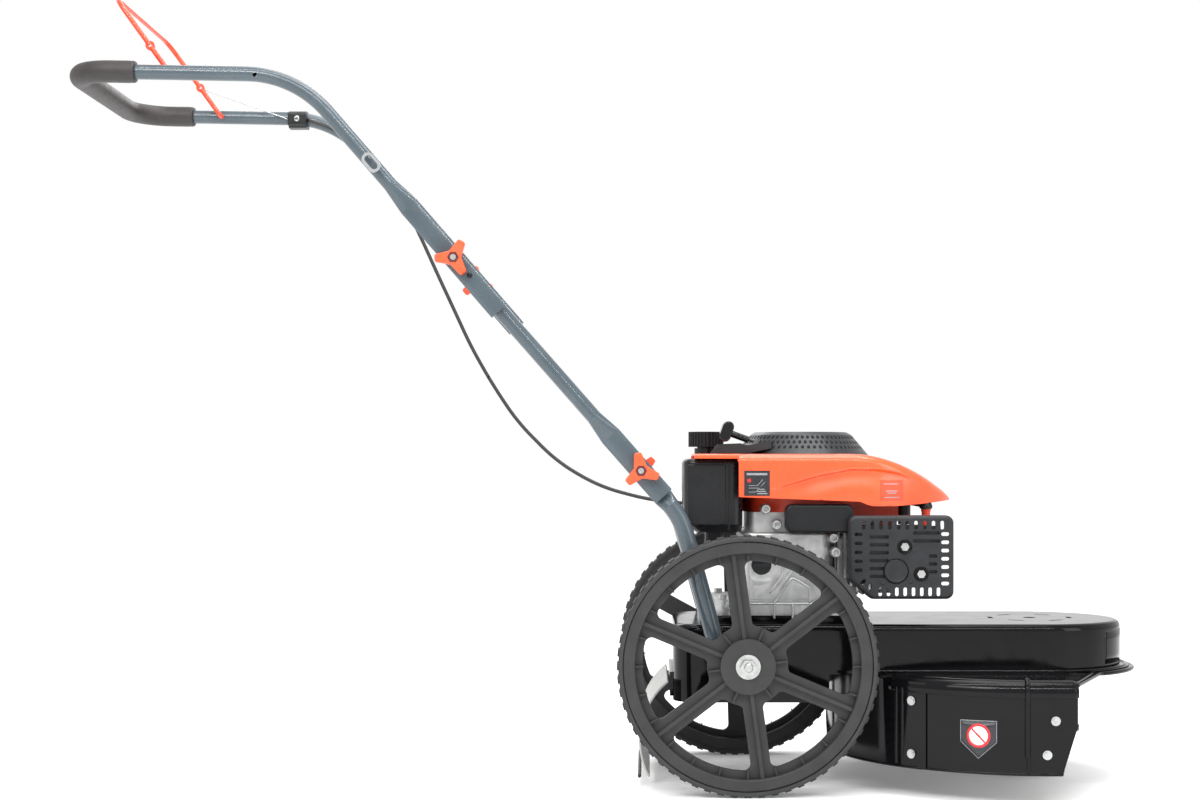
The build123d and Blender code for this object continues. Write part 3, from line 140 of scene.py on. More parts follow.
DECK = finish("deck_paint", "#08080a", "#0d0d0f", 0.11, patch=12, grain=260, bump=0.06,
              depth=0.0003, rough_spread=0.04, waves=(16, 0.10, 0.002), shine=0.17)
SLATE = finish("tube_paint", "#3c474e", "#445057", 0.26, coat=0.3, patch=18, grain=1400, bump=0.10,
               depth=0.0002, waves=(60, 0.04, 0.001), shine=0.4)
ORANGE = finish("shroud_plastic", "#ef4c1a", "#f35423", 0.30, coat=0.35, patch=14, grain=1100,
                bump=0.05, waves=(18, 0.05, 0.002))
# Darker copy of the shroud's orange for the duct, skirt and post under the cowl and behind the guard:
# painted shade.
SHADED_SHROUD_ORANGE = finish("shroud_inner_painted_shade", "#c93a1c", "#b83216", 0.45, patch=16, grain=1100)
KNOB = finish("knob_plastic", "#f4542a", "#ee4a20", 0.42, patch=60, grain=1300, bump=0.10)
# Very dark red of the knobs' hex recesses: painted shade in the hollow.
RECESS_SHADE = finish("knob_recess_painted_shade", "#5a0e0c", "#490a0a", 0.5, patch=90, grain=1500)
BAIL = finish("bail_paint", "#e0431c", "#d23a16", 0.33, coat=0.2, patch=30, grain=1500, bump=0.1)
ZINC = finish("zinc_plate", "#b9bab8", "#a3a5a4", 0.30, metal=1.0, patch=120, grain=1800, bump=0.12)
CHROME = finish("chrome", "#d5d6d8", "#c2c4c6", 0.12, metal=1.0, patch=140, grain=1500, bump=0.04)
WHEEL = finish("wheel_plastic", "#2a2a2b", "#323233", 0.48, patch=35, grain=1500, bump=0.22,
               waves=(70, 0.05, 0.001), shine=0.28)
TYRE = finish("tyre_rubber", "#2c2c2d", "#353536", 0.62, patch=50, grain=1100, bump=0.35, shine=0.3)
FOAM = finish("foam_grip", "#252120", "#2c2827", 0.50, patch=45, grain=2200, bump=0.45,
              depth=0.0004, waves=(120, 0.10, 0.001))
BLACK = finish("satin_black_plastic", "#101113", "#161719", 0.34, patch=40, grain=1300, bump=0.16,
               shine=0.28)
TANK = finish("tank_plastic", "#0f1012", "#151618", 0.30, patch=30, grain=800, bump=0.16,
              waves=(35, 0.08, 0.002), shine=0.32)
GLOSS_BLACK = finish("handle_plastic", "#0a0a0b", "#101012", 0.13, patch=60, grain=1200, shine=0.3)
COVER = finish("recoil_plastic", "#1f2124", "#27292c", 0.34, patch=40, grain=1300, bump=0.14, shine=0.35)
GUARD = finish("guard_paint", "#1c1d20", "#252629", 0.44, patch=60, grain=1500, bump=0.25, shine=0.3)
SOOT = finish("muffler_paint", "#0f0f10", "#19191a", 0.6, patch=60, grain=900, bump=0.3)
CAST = finish("cast_aluminium", "#c6c7c6", "#a9abaa", 0.40, metal=0.75, patch=70, grain=700,
              bump=0.55, depth=0.0005, rough_spread=0.1)
IRON = finish("cast_iron", "#4c4c4d", "#3c3c3e", 0.55, metal=0.8, patch=70, grain=600, bump=0.6)
PULLEY = finish("pulley_paint", "#242426", "#2d2d30", 0.4, patch=60, grain=1200)
RUBBER = finish("black_rubber", "#151515", "#1d1d1d", 0.5, patch=90, grain=1400, bump=0.2)
ROPE = finish("braided_rope", "#1c1c1e", "#2b2b2e", 0.75, patch=900, grain=3500, bump=0.8)
FLAP = finish("flap_plastic", "#b4b5b2", "#a8a9a6", 0.55, patch=18, grain=900, bump=0.2)
CERAMIC = finish("plug_ceramic", "#dedcd6", "#d0cec8", 0.2, patch=90, grain=1500)
NYLON = finish("head_nylon", "#19191b", "#222224", 0.45, patch=40, grain=1200, bump=0.2)
LINE = finish("line_nylon", "#e07a1c", "#c96a14", 0.35, patch=200, grain=2500)
LABEL = finish("label_film", "#1b1c20", "#222328", 0.3, patch=60, grain=1600, bump=0.05)
LABEL_GREY = finish("label_print_grey", "#8d8f92", "#7d7f83", 0.35, patch=150, grain=1600)
LABEL_RED = finish("label_print_red", "#c8202a", "#b51a24", 0.35, patch=150, grain=1600)
LABEL_PALE = finish("label_print_pale", "#e9e7e2", "#dedcd6", 0.35, patch=150, grain=1600)
GHOST = finish("faint_label", "#e2441c", "#dc4019", 0.42, patch=120, grain=1600)

FINISHES = (
    (DECK, "deck_housing deck_plate skirt_rear side_shield_left side_shield_right"),
    (SLATE, "upper_handle mid_tube_left mid_tube_right lower_tube_left lower_tube_right"),
    (DECK, "handle_brackets"),
    (ORANGE, "engine_shroud"),
    (KNOB, "upper_knob_left upper_knob_right lower_knob_left lower_knob_right"),
    (BAIL, "bail"),
    (ZINC, "axle zinc_fasteners handle_bolts idler_bolt spindle spindle_bearings crankshaft"),
    (ZINC, "brake_lever inner_wire"),
    (CHROME, "rope_guide"),
    (WHEEL, "wheel_rim_left wheel_rim_right"),
    (TYRE, "tyre_left tyre_right"),
    (FOAM, "foam_grip"),
    (BLACK, "air_box oil_filler_cap cable_bracket recoil_reel fuel_cap"),
    (TANK, "fuel_tank"),
    (GLOSS_BLACK, "starter_grip"),
    (COVER, "recoil_cover"),
    (GUARD, "muffler_guard"),
    (SOOT, "muffler"),
    (CAST, "crankcase cylinder cylinder_head carburettor"),
    (IRON, "flywheel spindle_housing"),
    (PULLEY, "engine_pulley head_pulley idler_pulley"),
    (RUBBER, "plug_boot drive_belt cable_sheath"),
    (ROPE, "starter_rope"),
    (FLAP, "rear_flap"),
    (CERAMIC, "spark_plug"),
    (NYLON, "trimmer_head glide_dome"),
    (LINE, "cutting_lines"),
)
for material, names in FINISHES:
    for node_name in names.split():
        data = nodes[node_name].data
        data.materials.clear()
        data.materials.append(material)


# ---------------------------------------------------------------- mesh helpers

def piece(name, verts, faces, material, body, smooth=True, bevel=0.0, segments=2):
    """Mesh object from vertices and faces in the row frame, riding on a CAD body."""
    data = bpy.data.meshes.new(name)
    data.from_pydata([tuple(v) for v in verts], [], faces)
    mesh = bmesh.new()
    mesh.from_mesh(data)
    bmesh.ops.recalc_face_normals(mesh, faces=mesh.faces)
    mesh.to_mesh(data)
    mesh.free()
    data.materials.append(material)
    obj = bpy.data.objects.new(name, data)
    bpy.context.scene.collection.objects.link(obj)
    if smooth:
        data.polygons.foreach_set("use_smooth", [True] * len(data.polygons))
    if bevel:
        edge = obj.modifiers.new("bevel", "BEVEL")
        edge.width = bevel
        edge.segments = segments
        edge.limit_method = "ANGLE"
        edge.angle_limit = math.radians(35)
    if smooth:
        even = obj.modifiers.new("weighted", "WEIGHTED_NORMAL")
        even.keep_sharp = True
    if body:
        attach(obj, body)
    return obj


def rounded_path(points, radii, step=0.004):
    """Points along a polyline whose corners are rounded by circular arcs, about step apart."""
    points = [Vector(p) for p in points]
    path = [points[0]]
    for before, here, after, radius in zip(points, points[1:], points[2:], radii):
        arriving = (here - before).normalized()
        leaving = (after - here).normalized()
        turn = arriving.angle(leaving)
        back = radius * math.tan(turn / 2)
        start = here - arriving * back
        centre_way = (leaving - arriving).normalized()
        centre = here + centre_way * (radius / math.cos(turn / 2))
        count = max(3, int(radius * turn / step))
        spoke = start - centre
        axis = arriving.cross(leaving).normalized()
        for i in range(count + 1):
            path.append(centre + Matrix.Rotation(turn * i / count, 3, axis) @ spoke)
    path.append(points[-1])
    dense = [path[0]]
    for a, b in zip(path, path[1:]):
        count = max(1, int((b - a).length / step))
        for i in range(1, count + 1):
            dense.append(a.lerp(b, i / count))
    return dense


def tube(name, path, radius, material, body, sides=20):
    """Round bar along a path. radius is a number, or a function of the distance run."""
    rings = []
    faces = []
    run = 0.0
    normal = None
    for i, point in enumerate(path):
        ahead = path[min(i + 1, len(path) - 1)]
        behind = path[max(i - 1, 0)]
        way = (ahead - behind).normalized()
        if normal is None:
            normal = way.orthogonal().normalized()
        normal = (normal - way * normal.dot(way)).normalized()
        side = way.cross(normal)
        if i:
            run += (point - path[i - 1]).length
        r = radius(run) if callable(radius) else radius
        for k in range(sides):
            angle = 2 * math.pi * k / sides
            rings.append(point + normal * (r * math.cos(angle)) + side * (r * math.sin(angle)))
    for i in range(len(path) - 1):
        for k in range(sides):
            a = i * sides + k
            b = i * sides + (k + 1) % sides
            faces.append((a, b, b + sides, a + sides))
    faces.append(tuple(range(sides - 1, -1, -1)))
    last = (len(path) - 1) * sides
    faces.append(tuple(range(last, last + sides)))
    return piece(name, rings, faces, material, body)


def run_length(path):
    return sum((b - a).length for a, b in zip(path, path[1:]))


# ---------------------------------------------------------------- handle

def foam_grip():
    """Foam sleeve on the handle's U, with rounded ends, a groove near each and creases in the bends."""
    bar_x, bar_z = -0.743, 0.994
    leg = 0.090
    corner = 0.055
    slope = 5.5 / 309
    outer = 0.0153
    end_roll = 0.004
    groove_at, groove_half, groove_depth = 0.0065, 0.0015, 0.0007
    crease_reach, crease_pitch, crease_depth = 0.030, 0.0058, 0.00022
    end_z = bar_z - slope * leg
    path = rounded_path(((bar_x + leg, -TUBE_Y, end_z), (bar_x, -TUBE_Y, bar_z),
                         (bar_x, TUBE_Y, bar_z), (bar_x + leg, TUBE_Y, end_z)),
                        (corner, corner), 0.002)
    total = run_length(path)
    first_bend = leg - corner + corner * math.pi / 4
    bends = (first_bend, total - first_bend)

    def radius(run):
        edge = min(run, total - run)
        r = outer
        if edge < end_roll:
            r -= 0.0018 * (1 - math.sin(edge / end_roll * math.pi / 2))
        groove = abs(edge - groove_at)
        if groove < groove_half:
            r -= groove_depth * (1 - groove / groove_half)
        for middle in bends:
            near = abs(run - middle) / crease_reach
            if near < 1:
                r += crease_depth * math.cos(run * 2 * math.pi / crease_pitch) * (1 - near)
        return r

    grip = tube("foam_sleeve", path, radius, FOAM, "handle", sides=28)
    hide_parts("foam_grip")


def cable():
    """Brake cable in two halves that meet on the middle tubes."""
    points = ((-662.6, 157.5, 985.5), (-620, 157.5, 971), (-581, 157.5, 941), (-538, 157.2, 892),
              (-507, 155.5, 845), (-484, 152, 798), (-459, 147.5, 743), (-434, 143, 690),
              (-408, 138.5, 634), (-376, 133, 578), (-336, 126, 518), (-274, 115, 456),
              (-208, 106, 418), (-131, 100, 398), (-60, 97.8, 391.5), (14, 96.5, 397.5))
    points = [Vector((AXLE_X + x / 1000, y / 1000, z / 1000)) for x, y, z in points]
    radii = []
    for before, here, after in zip(points, points[1:], points[2:]):
        turn = (here - before).angle(after - here)
        shorter = min((here - before).length, (after - here).length)
        radii.append(0.45 * shorter / math.tan(turn / 2))
    path = rounded_path(points, radii, 0.004)
    meeting = Vector((-0.182, 0.132, 0.5900))
    split = min(range(len(path)), key=lambda i: (path[i] - meeting).length)
    sheath_r = 0.00275
    upper = tube("cable_upper", path[:split + 1], sheath_r, RUBBER, None, sides=14)
    lower = tube("cable_lower", path[split:], sheath_r, RUBBER, None, sides=14)
    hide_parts("cable_sheath")
    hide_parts("cable_sheath")
    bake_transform(upper)
    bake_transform(lower)


def brake_wire():
    """Bare inner wire between the bail's eye and the cable bracket."""
    eye = Vector((-0.639, 0.1552, 1.033))
    bracket = Vector((-0.5054, 0.1575, 0.9865))
    wire_path = [eye.lerp(bracket, i / 30) for i in range(31)]
    wire = tube("brake_wire", wire_path, 0.0009, ZINC, None, sides=10)
    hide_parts("inner_wire")
    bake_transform(wire)


def starter_rope():
    """Length of rope between the recoil cover and the grip, laid along the pull."""
    pull = Vector((-0.93972, 0, 0.34196))
    mouth = Vector((0.199, -0.062, 0.486))
    inside, length = 0.0035, 0.0108
    path = [mouth + pull * (length * i / 24 - inside) for i in range(25)]
    rope = tube("pull_rope", path, 0.0020, ROPE, None, sides=12)
    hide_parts("starter_rope")
    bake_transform(rope)


def disc(name, centre, normal, profile, material, body, sides=32, corner=None):
    """Turned piece: profile is (height, radius) steps along the normal from the centre."""
    normal = Vector(normal).normalized()
    first = normal.orthogonal().normalized()
    if corner is not None:
        first = Vector(corner).normalized()
    second = normal.cross(first)
    verts = []
    faces = []
    for height, radius in profile:
        for k in range(sides):
            angle = 2 * math.pi * k / sides
            verts.append(Vector(centre) + normal * height
                         + first * (radius * math.cos(angle)) + second * (radius * math.sin(angle)))
    for i in range(len(profile) - 1):
        for k in range(sides):
            a = i * sides + k
            b = i * sides + (k + 1) % sides
            faces.append((a, b, b + sides, a + sides))
    faces.append(tuple(range(sides - 1, -1, -1)))
    last = (len(profile) - 1) * sides
    faces.append(tuple(range(last, last + sides)))
    round_enough = sides > 8
    return piece(name, verts, faces, material, body, smooth=round_enough, bevel=0.0004)


def knob_centres():
    """Hexagonal recess in each star knob."""
    for side, sign in (("right", -1), ("left", 1)):
        for level, x, z, face, body in (("upper", -0.2153, 0.7357, 0.1884, f"knob_upper_{side}"),
                                        ("lower", 0.0419, 0.4432, 0.1689, f"knob_lower_{side}")):
            out = (0, sign, 0)
            # The recess is drawn as a dark red hexagon on the knob's face: painted shade.
            hexagon = disc(f"{level}_recess_{side}", (x, sign * face, z), out,
                           ((-0.0002, 0.0082), (0.0005, 0.0082), (0.0003, 0.0066), (-0.0001, 0.0062)),
                           RECESS_SHADE, body, sides=6, corner=(0.5, 0, 0.866))


def clamp_screw():
    """Cross-slotted screw of the cable bracket; the slots are black bars on the head, painted shade."""
    centre = Vector((-0.491, 0.1510, 0.9865))
    head = disc("clamp_screw", centre, (0, -1, 0),
                ((0.0, 0.0047), (0.0008, 0.0046), (0.0019, 0.0036), (0.0024, 0.0014)), ZINC, "handle")
    first_turn = 0.4
    for index, turn in enumerate((first_turn, first_turn + math.pi / 2)):
        way = Vector((math.cos(turn), 0, math.sin(turn)))
        across = Vector((-math.sin(turn), 0, math.cos(turn)))
        near = centre + Vector((0, -0.00245, 0))
        verts = [near + way * a * 0.0027 + across * b * 0.0006 + Vector((0, c, 0))
                 for c in (0.0, -0.0002) for a, b in ((-1, -1), (1, -1), (1, 1), (-1, 1))]
        faces = [(0, 1, 2, 3), (7, 6, 5, 4), (0, 4, 5, 1), (1, 5, 6, 2), (2, 6, 7, 3), (3, 7, 4, 0)]
        # Each slot is a thin black bar on the zinc head: painted shade in the recess.
        slot = piece(f"screw_slot_shade_{index}", verts, faces, BLACK, "handle", smooth=False)


def channel_plugs():
    """Black plug in each pressed channel, below the upper knobs."""
    for side, sign in (("right", -1), ("left", 1)):
        plug = disc(f"channel_plug_{side}", (-0.194, sign * 0.1750, 0.712), (0, sign, 0),
                    ((-0.0005, 0.0038), (0.0008, 0.0038), (0.0018, 0.0028), (0.0021, 0.0010)),
                    BLACK, "handle")


foam_grip()
cable()
brake_wire()
starter_rope()
knob_centres()
clamp_screw()
channel_plugs()


# ---------------------------------------------------------------- engine

def ease(value, low, high):
    """Smooth step from 0 at low to 1 at high."""
    t = min(1.0, max(0.0, (value - low) / (high - low)))
    return t * t * (3 - 2 * t)


def course(value, points):
    """Straight-line interpolation through (place, height) pairs."""
    if value <= points[0][0]:
        return points[0][1]
    for (x0, z0), (x1, z1) in zip(points, points[1:]):
        if value <= x1:
            return z0 + (z1 - z0) * (value - x0) / (x1 - x0)
    return points[-1][1]


# The cowl's shape in millimetres, x from the axle.
COWL_SIDE = 117.0
SEAM = ((-70, 460.6), (-8.01, 460.6), (-7.99, 406.4), (162, 400.0), (178, 393.6), (215, 393.4),
        (262, 397.0), (305, 401.0))
CREASE = ((-70, 430), (30, 415), (104, 437), (150, 446), (190, 445), (220, 440), (262, 422),
          (305, 401.6))


def cowl_width(x):
    """Half width: straight sides that round off towards the tip."""
    return COWL_SIDE * math.sqrt(max(0.0, 1 - max(0.0, (x - 170) / 135) ** 1.588))


def cowl_top(x):
    """Height of the top, which falls towards the tip."""
    return 467.0 - 65.0 * max(0.0, (x - 150) / 155) ** 1.91


def cowl_wall(x, z):
    """Half width of the cowl's side at a place, with its pressed crease."""
    below = course(x, CREASE) - z
    strength = ease(x, 25, 110) * (1 - ease(x, 190, 262))
    dent = ease(below, 0, 2.5) * (1 - 1.4 * ease(below, 2.5, 32))
    return cowl_width(x) - 4.2 * strength * dent


def cowl_section(x):
    """Half section from the lower edge up to the middle of the top."""
    low = course(x, SEAM)
    top = cowl_top(x)
    width = cowl_width(x)
    round_off = min(12.0, 0.5 * (top - low), 0.8 * width)
    shoulder = top - round_off
    wall = shoulder - low
    crease = min(max(course(x, CREASE), low + 0.3 * wall), shoulder - 0.15 * wall)
    notch = min(2.5, 0.4 * (crease - low))
    heights = [low + (crease - notch - low) * i / 9 for i in range(10)]
    heights += [crease - notch + notch * i / 3 for i in range(1, 4)]
    heights += [crease + (shoulder - crease) * i / 4 for i in range(1, 5)]
    section = [(cowl_wall(x, z), z) for z in heights]
    edge = section[-1][0]
    for i in range(1, 7):
        angle = math.pi / 2 * i / 6
        section.append((edge - round_off * (1 - math.cos(angle)),
                        shoulder + round_off * math.sin(angle)))
    inner = section[-1][0]
    crown = 0.6 * ease(width, 0, 40)
    for i in range(1, 13):
        section.append((inner * (1 - i / 12), top + crown * math.sin(math.pi / 2 * i / 12)))
    return section


def cowl():
    """Orange engine cowl, open under the recoil cover and round the tank's neck."""
    stations = [-70, -55, -40, -25, -8.01, -7.99] + list(range(0, 260, 6)) + list(range(262, 303, 3))
    stations += [303, 304.2, 304.8]
    verts = []
    for x in stations:
        half = cowl_section(x)
        ring = [(-y, z) for y, z in half] + [(y, z) for y, z in reversed(half[:-1])]
        verts += [Vector((AXLE_X + x / 1000, y / 1000, z / 1000)) for y, z in ring]
        count = len(ring)
    cover, cover_r = Vector((CRANK_X, 0)), 0.0935
    neck, neck_r = Vector((0.1365, 0.005)), 0.013
    flat_part = 0.455
    faces = []
    for i in range(len(stations) - 1):
        for k in range(count - 1):
            a = i * count + k
            corners = (a, a + count, a + count + 1, a + 1)
            centre = sum((verts[c] for c in corners), Vector()) / 4
            flat = Vector(centre[:2])
            opening = (flat - cover).length < cover_r or (flat - neck).length < neck_r
            if not (opening and centre.z > flat_part):
                faces.append(corners)
    shell = piece("cowl_shell", verts, faces, ORANGE, None)
    wall = shell.modifiers.new("wall", "SOLIDIFY")
    wall.thickness = 0.0024
    wall.offset = -1
    edge = shell.modifiers.new("edge", "BEVEL")
    edge.width = 0.0007
    edge.segments = 2
    edge.limit_method = "ANGLE"
    edge.angle_limit = math.radians(60)
    shell.modifiers.move(0, 2)  # the weighted normals go last
    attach(shell, "deck")
    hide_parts("engine_shroud")


def cowl_duct():
    """Fan ring and inner skirt under the cowl."""
    # The duct and the skirt take the darker orange, which is painted shade.
    ring = disc("fan_duct", (CRANK_X, 0, 0.384), (0, 0, 1),
                ((0.0, 0.020), (0.0, 0.086), (0.060, 0.086), (0.060, 0.0835), (0.003, 0.0835),
                 (0.003, 0.020)), SHADED_SHROUD_ORANGE, "deck", sides=72)
    rear, front, low, high = 0.318, 0.408, 0.376, 0.408
    right, left = -0.063, 0.066
    outline = ((rear, right), (front, right), (front, left), (rear, left))
    verts = [Vector((x, y, z)) for z in (low, high) for x, y in outline]
    faces = [(0, 1, 5, 4), (1, 2, 6, 5), (2, 3, 7, 6), (3, 0, 4, 7)]
    skirt = piece("cylinder_skirt", verts, faces, SHADED_SHROUD_ORANGE, None, smooth=False)
    wall = skirt.modifiers.new("wall", "SOLIDIFY")
    wall.thickness = 0.0022
    wall.offset = 1
    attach(skirt, "deck")


def cowl_patch(name, x0, x1, z0, z1, lift, material, lean=0.0):
    """Thin film on the cowl's right side; lean slants its ends by that many millimetres."""
    columns = 8
    verts = []
    for thick in (lift, lift - 0.25):
        for row in range(3):
            z = z0 + (z1 - z0) * row / 2
            for i in range(columns + 1):
                x = x0 + (x1 - x0) * i / columns + lean * (row / 2)
                verts.append(Vector((AXLE_X + x / 1000, -(cowl_wall(x, z) + thick) / 1000, z / 1000)))
    faces = []
    wide = columns + 1
    for layer in (0, 3 * wide):
        for row in range(2):
            for i in range(columns):
                a = layer + row * wide + i
                quad = (a, a + 1, a + 1 + wide, a + wide)
                faces.append(quad if layer == 0 else quad[::-1])
    sticker = piece(name, verts, faces, material, "deck")


def cowl_labels():
    """Plain stickers with bars and slanted lines in place of the maker's print."""
    cowl_patch("oil_label", -0.5, 35.5, 408, 443.5, 0.45, LABEL)
    cowl_patch("oil_label_bar", 3, 32, 437, 440, 0.65, LABEL_GREY)
    for index, (x, z, length) in enumerate(((6, 422, 11), (6, 418.5, 14), (6, 413, 9))):
        cowl_patch(f"oil_label_line_{index}", x, x + length, z, z + 0.8, 0.65, LABEL_GREY)
        cowl_patch(f"oil_label_rise_{index}", x + length, x + length + 1.2, z, z + 9, 0.65,
                   LABEL_GREY, lean=8)
    cowl_patch("oil_label_mark", 4, 9, 427, 432, 0.65, LABEL_RED)
    for index in range(3):
        cowl_patch(f"oil_label_note_{index}", 18, 32 - 2 * index, 410.5 + 3 * index, 412 + 3 * index,
                   0.65, LABEL_GREY)
    cowl_patch("side_label", 191, 225, 401.5, 430, 0.45, GHOST)
    bars = ((196, 218, 424), (199, 216, 414), (201, 214, 411), (197, 219, 405))
    for index, (x0, x1, z) in enumerate(bars):
        cowl_patch(f"side_label_bar_{index}", x0, x1, z, z + 1.3, 0.65, LABEL_GREY)


def block(name, low, high, material, body, bevel=0.001):
    """Box with rounded edges, from its lowest to its highest corner."""
    (x0, y0, z0), (x1, y1, z1) = low, high
    verts = [(x0, y0, z0), (x1, y0, z0), (x1, y1, z0), (x0, y1, z0),
             (x0, y0, z1), (x1, y0, z1), (x1, y1, z1), (x0, y1, z1)]
    faces = [(0, 3, 2, 1), (4, 5, 6, 7), (0, 1, 5, 4), (1, 2, 6, 5), (2, 3, 7, 6), (3, 0, 4, 7)]
    box = piece(name, verts, faces, material, body, bevel=bevel, segments=3)


def tank_panel():
    """Raised panel and moulding seam on the tank's near side."""
    block("tank_panel", (0.1075, -0.0995, 0.3665), (0.1615, -0.0970, 0.4520), TANK, "deck", 0.0022)
    block("tank_seam", (0.1650, -0.0990, 0.3600), (0.1675, -0.0970, 0.4560), TANK, "deck", 0.0008)


def crankcase_bosses():
    """Screw bosses that stand out of the castings; each row is x, z and radius."""
    spots = ((0.2185, 0.389, 0.0065), (0.234, 0.3665, 0.0065), (0.315, 0.3479, 0.0068),
             (0.318, 0.3275, 0.0068), (0.170, 0.252, 0.0080), (0.305, 0.252, 0.0080))
    for index, (x, z, radius) in enumerate(spots):
        boss = disc(f"case_boss_{index}", (x, -0.080, z), (0, -1, 0),
                    ((0.0, radius + 0.0015), (0.0155, radius), (0.0165, radius - 0.0006),
                     (0.0165, radius * 0.55), (0.0110, radius * 0.52)), CAST, "deck", sides=28)


def crankcase_ribs():
    """Cast ribs on the near side of the crankcase."""
    runs = (((0.2283, 0.2539), (0.2550, 0.2924), (0.2800, 0.2777), (0.2800, 0.2560)),
            ((0.2060, 0.3300), (0.2420, 0.3300), (0.2420, 0.2950), (0.2230, 0.2700)),
            ((0.2300, 0.2540), (0.2300, 0.2330)), ((0.2560, 0.2540), (0.2560, 0.2330)),
            ((0.1960, 0.2550), (0.3350, 0.2550)), ((0.2900, 0.3150), (0.3150, 0.2800)))
    for index, run in enumerate(runs):
        points = [(x, -0.0990, z) for x, z in run]
        path = rounded_path(points, [0.004] * (len(points) - 2), 0.002)
        rib = tube(f"case_rib_{index}", path, 0.0016, CAST, "deck", sides=12)


def guard_ring(name, x, z, profile, material, sides, sunk=0.0006):
    """Low turned detail on the guard's near face."""
    ring = disc(name, (x, GUARD_FACE + sunk, z), (0, -1, 0), profile, material, "deck", sides=sides)


def guard_details():
    """Round pad with its groove, sunk screw seats and pips, and the dark plate behind the slots. The
    groove and the seats are near-black rings and the plate is a near-black sheet, all painted shade.
    """
    pad = (0.3973, 0.3032)
    seats = ((0.4096, 0.3372), (0.4324, 0.2993))
    pips = ((0.3795, 0.2865), (0.4180, 0.2885), (0.4235, 0.3315), (0.3865, 0.2795))
    guard_ring("guard_pad", *pad, ((0.0, 0.0165), (0.0015, 0.0160), (0.0018, 0.0140),
                                   (0.0010, 0.0125), (0.0010, 0.0060)), GUARD, 40)
    # The groove is a near-black ring: painted shade.
    guard_ring("guard_pad_groove_shade", *pad, ((0.0, 0.0182), (0.0012, 0.0180), (0.0014, 0.0172),
                                        (0.0006, 0.0168)), DECK, 40)
    # Near-black sheet just behind the guard's slots: painted shade.
    block("slot_shade_plate", (0.345, -0.1310, 0.2900), (0.4605, -0.1290, 0.3665), SOOT, "deck", 0.0006)
    for index, (x, z) in enumerate(seats):
        # Each sunk seat is a near-black dish: painted shade.
        guard_ring(f"guard_seat_shade_{index}", x, z, ((0.0, 0.0108), (0.0010, 0.0104), (0.0013, 0.0098),
                                                 (0.0007, 0.0090)), DECK, 36, 0.0004)
    for index, (x, z) in enumerate(pips):
        guard_ring(f"guard_pip_{index}", x, z, ((0.0, 0.0028), (0.0010, 0.0024), (0.0014, 0.0010)),
                   SOOT, 18, 0.0004)


def plug_parts():
    """Post with its black cap behind the guard, and the ignition lead under the cowl."""
    post_x, post_y, foot, top = 0.4485, -0.070, 0.3655, 0.389
    # The post takes the darker orange, which is painted shade.
    post = disc("shield_post", (post_x, post_y, foot), (0, 0, 1),
                ((0.0, 0.0062), (0.0185, 0.0062), (0.0205, 0.0070), (0.0245, 0.0070)), SHADED_SHROUD_ORANGE, "deck")
    cap = disc("shield_post_cap", (post_x, post_y, top), (0, 0, 1),
               ((0.0, 0.0090), (0.004, 0.0095), (0.009, 0.0075), (0.012, 0.0050)), BLACK, "deck")
    path = rounded_path(((0.421, -0.044, 0.394), (0.424, -0.052, 0.398), (0.434, -0.062, 0.396),
                         (0.444, -0.068, 0.394)), (0.004, 0.008), 0.002)
    lead = tube("plug_lead", path, 0.0035, RUBBER, "deck", sides=14)


cowl()
cowl_duct()
cowl_labels()
tank_panel()
crankcase_bosses()
crankcase_ribs()
guard_details()
plug_parts()


# ---------------------------------------------------------------- deck

def brim_path(inset, height):
    """Line round the deck plate's edge, that far inside it."""
    ring = 0.2755 - inset
    nose = 0.148 - inset
    rear = math.pi - 0.62
    front = math.acos((0.620 - RING_X) / ring)
    nose_turn = math.radians(60)
    half = []
    for i in range(61):
        angle = rear + (front - rear) * i / 60
        half.append(Vector((RING_X + ring * math.cos(angle), ring * math.sin(angle), height)))
    for i in range(25):
        angle = nose_turn * (1 - i / 24)
        half.append(Vector((HEAD_X + nose * math.cos(angle), nose * math.sin(angle), height)))
    mirrored = [Vector((v.x, -v.y, v.z)) for v in reversed(half[:-1])]
    return half + mirrored


def deck_bead(name, path, radius, sides=12):
    """Rolled edge of the deck along a path."""
    bead = tube(name, path, radius, DECK, "deck", sides=sides)


def housing_flange():
    """Line along the foot of the belt housing: straight sides and a half circle at the nose."""
    start_x, radius, height = 0.330, 0.1365, 0.1635
    path = rounded_path(((start_x, -radius, height), (HEAD_X, -radius, height)), (), 0.01)
    for i in range(1, 49):
        angle = math.pi * i / 48
        path.append(Vector((HEAD_X + radius * math.sin(angle), -radius * math.cos(angle), height)))
    path.append(Vector((start_x, radius, height)))
    return path


def deck_beads():
    """Beads of the brim and the housing's foot, and the hems of shields and skirt."""
    hem_r, hem_z = 0.0020, 0.0415
    deck_bead("brim_lip", brim_path(0.0016, 0.1590), 0.0030, 14)
    deck_bead("brim_bead", brim_path(0.0125, 0.1602), 0.0030, 14)
    deck_bead("flange_bead", housing_flange(), 0.0024)
    rear_x, front_x, shield_middle_r = 0.400, 0.598, 0.2765
    for side, sign in (("right", -1), ("left", 1)):
        path = []
        for i in range(40):
            x = rear_x + (front_x - rear_x) * i / 39
            path.append(Vector((x, sign * math.sqrt(shield_middle_r ** 2 - (x - RING_X) ** 2), hem_z)))
        deck_bead(f"shield_hem_{side}", path, hem_r)
    skirt_middle_r = 0.2790
    path = []
    for i in range(80):
        angle = math.radians(128 + 104 * i / 79)
        path.append(Vector((RING_X + skirt_middle_r * math.cos(angle),
                            skirt_middle_r * math.sin(angle), hem_z)))
    deck_bead("skirt_hem", path, hem_r)


# The shoulder's section is an arc round a point at this reach from the ring's middle.
SHOULDER_REACH, SHOULDER_Z, SHOULDER_R = 0.2645, 0.1490, 0.0165


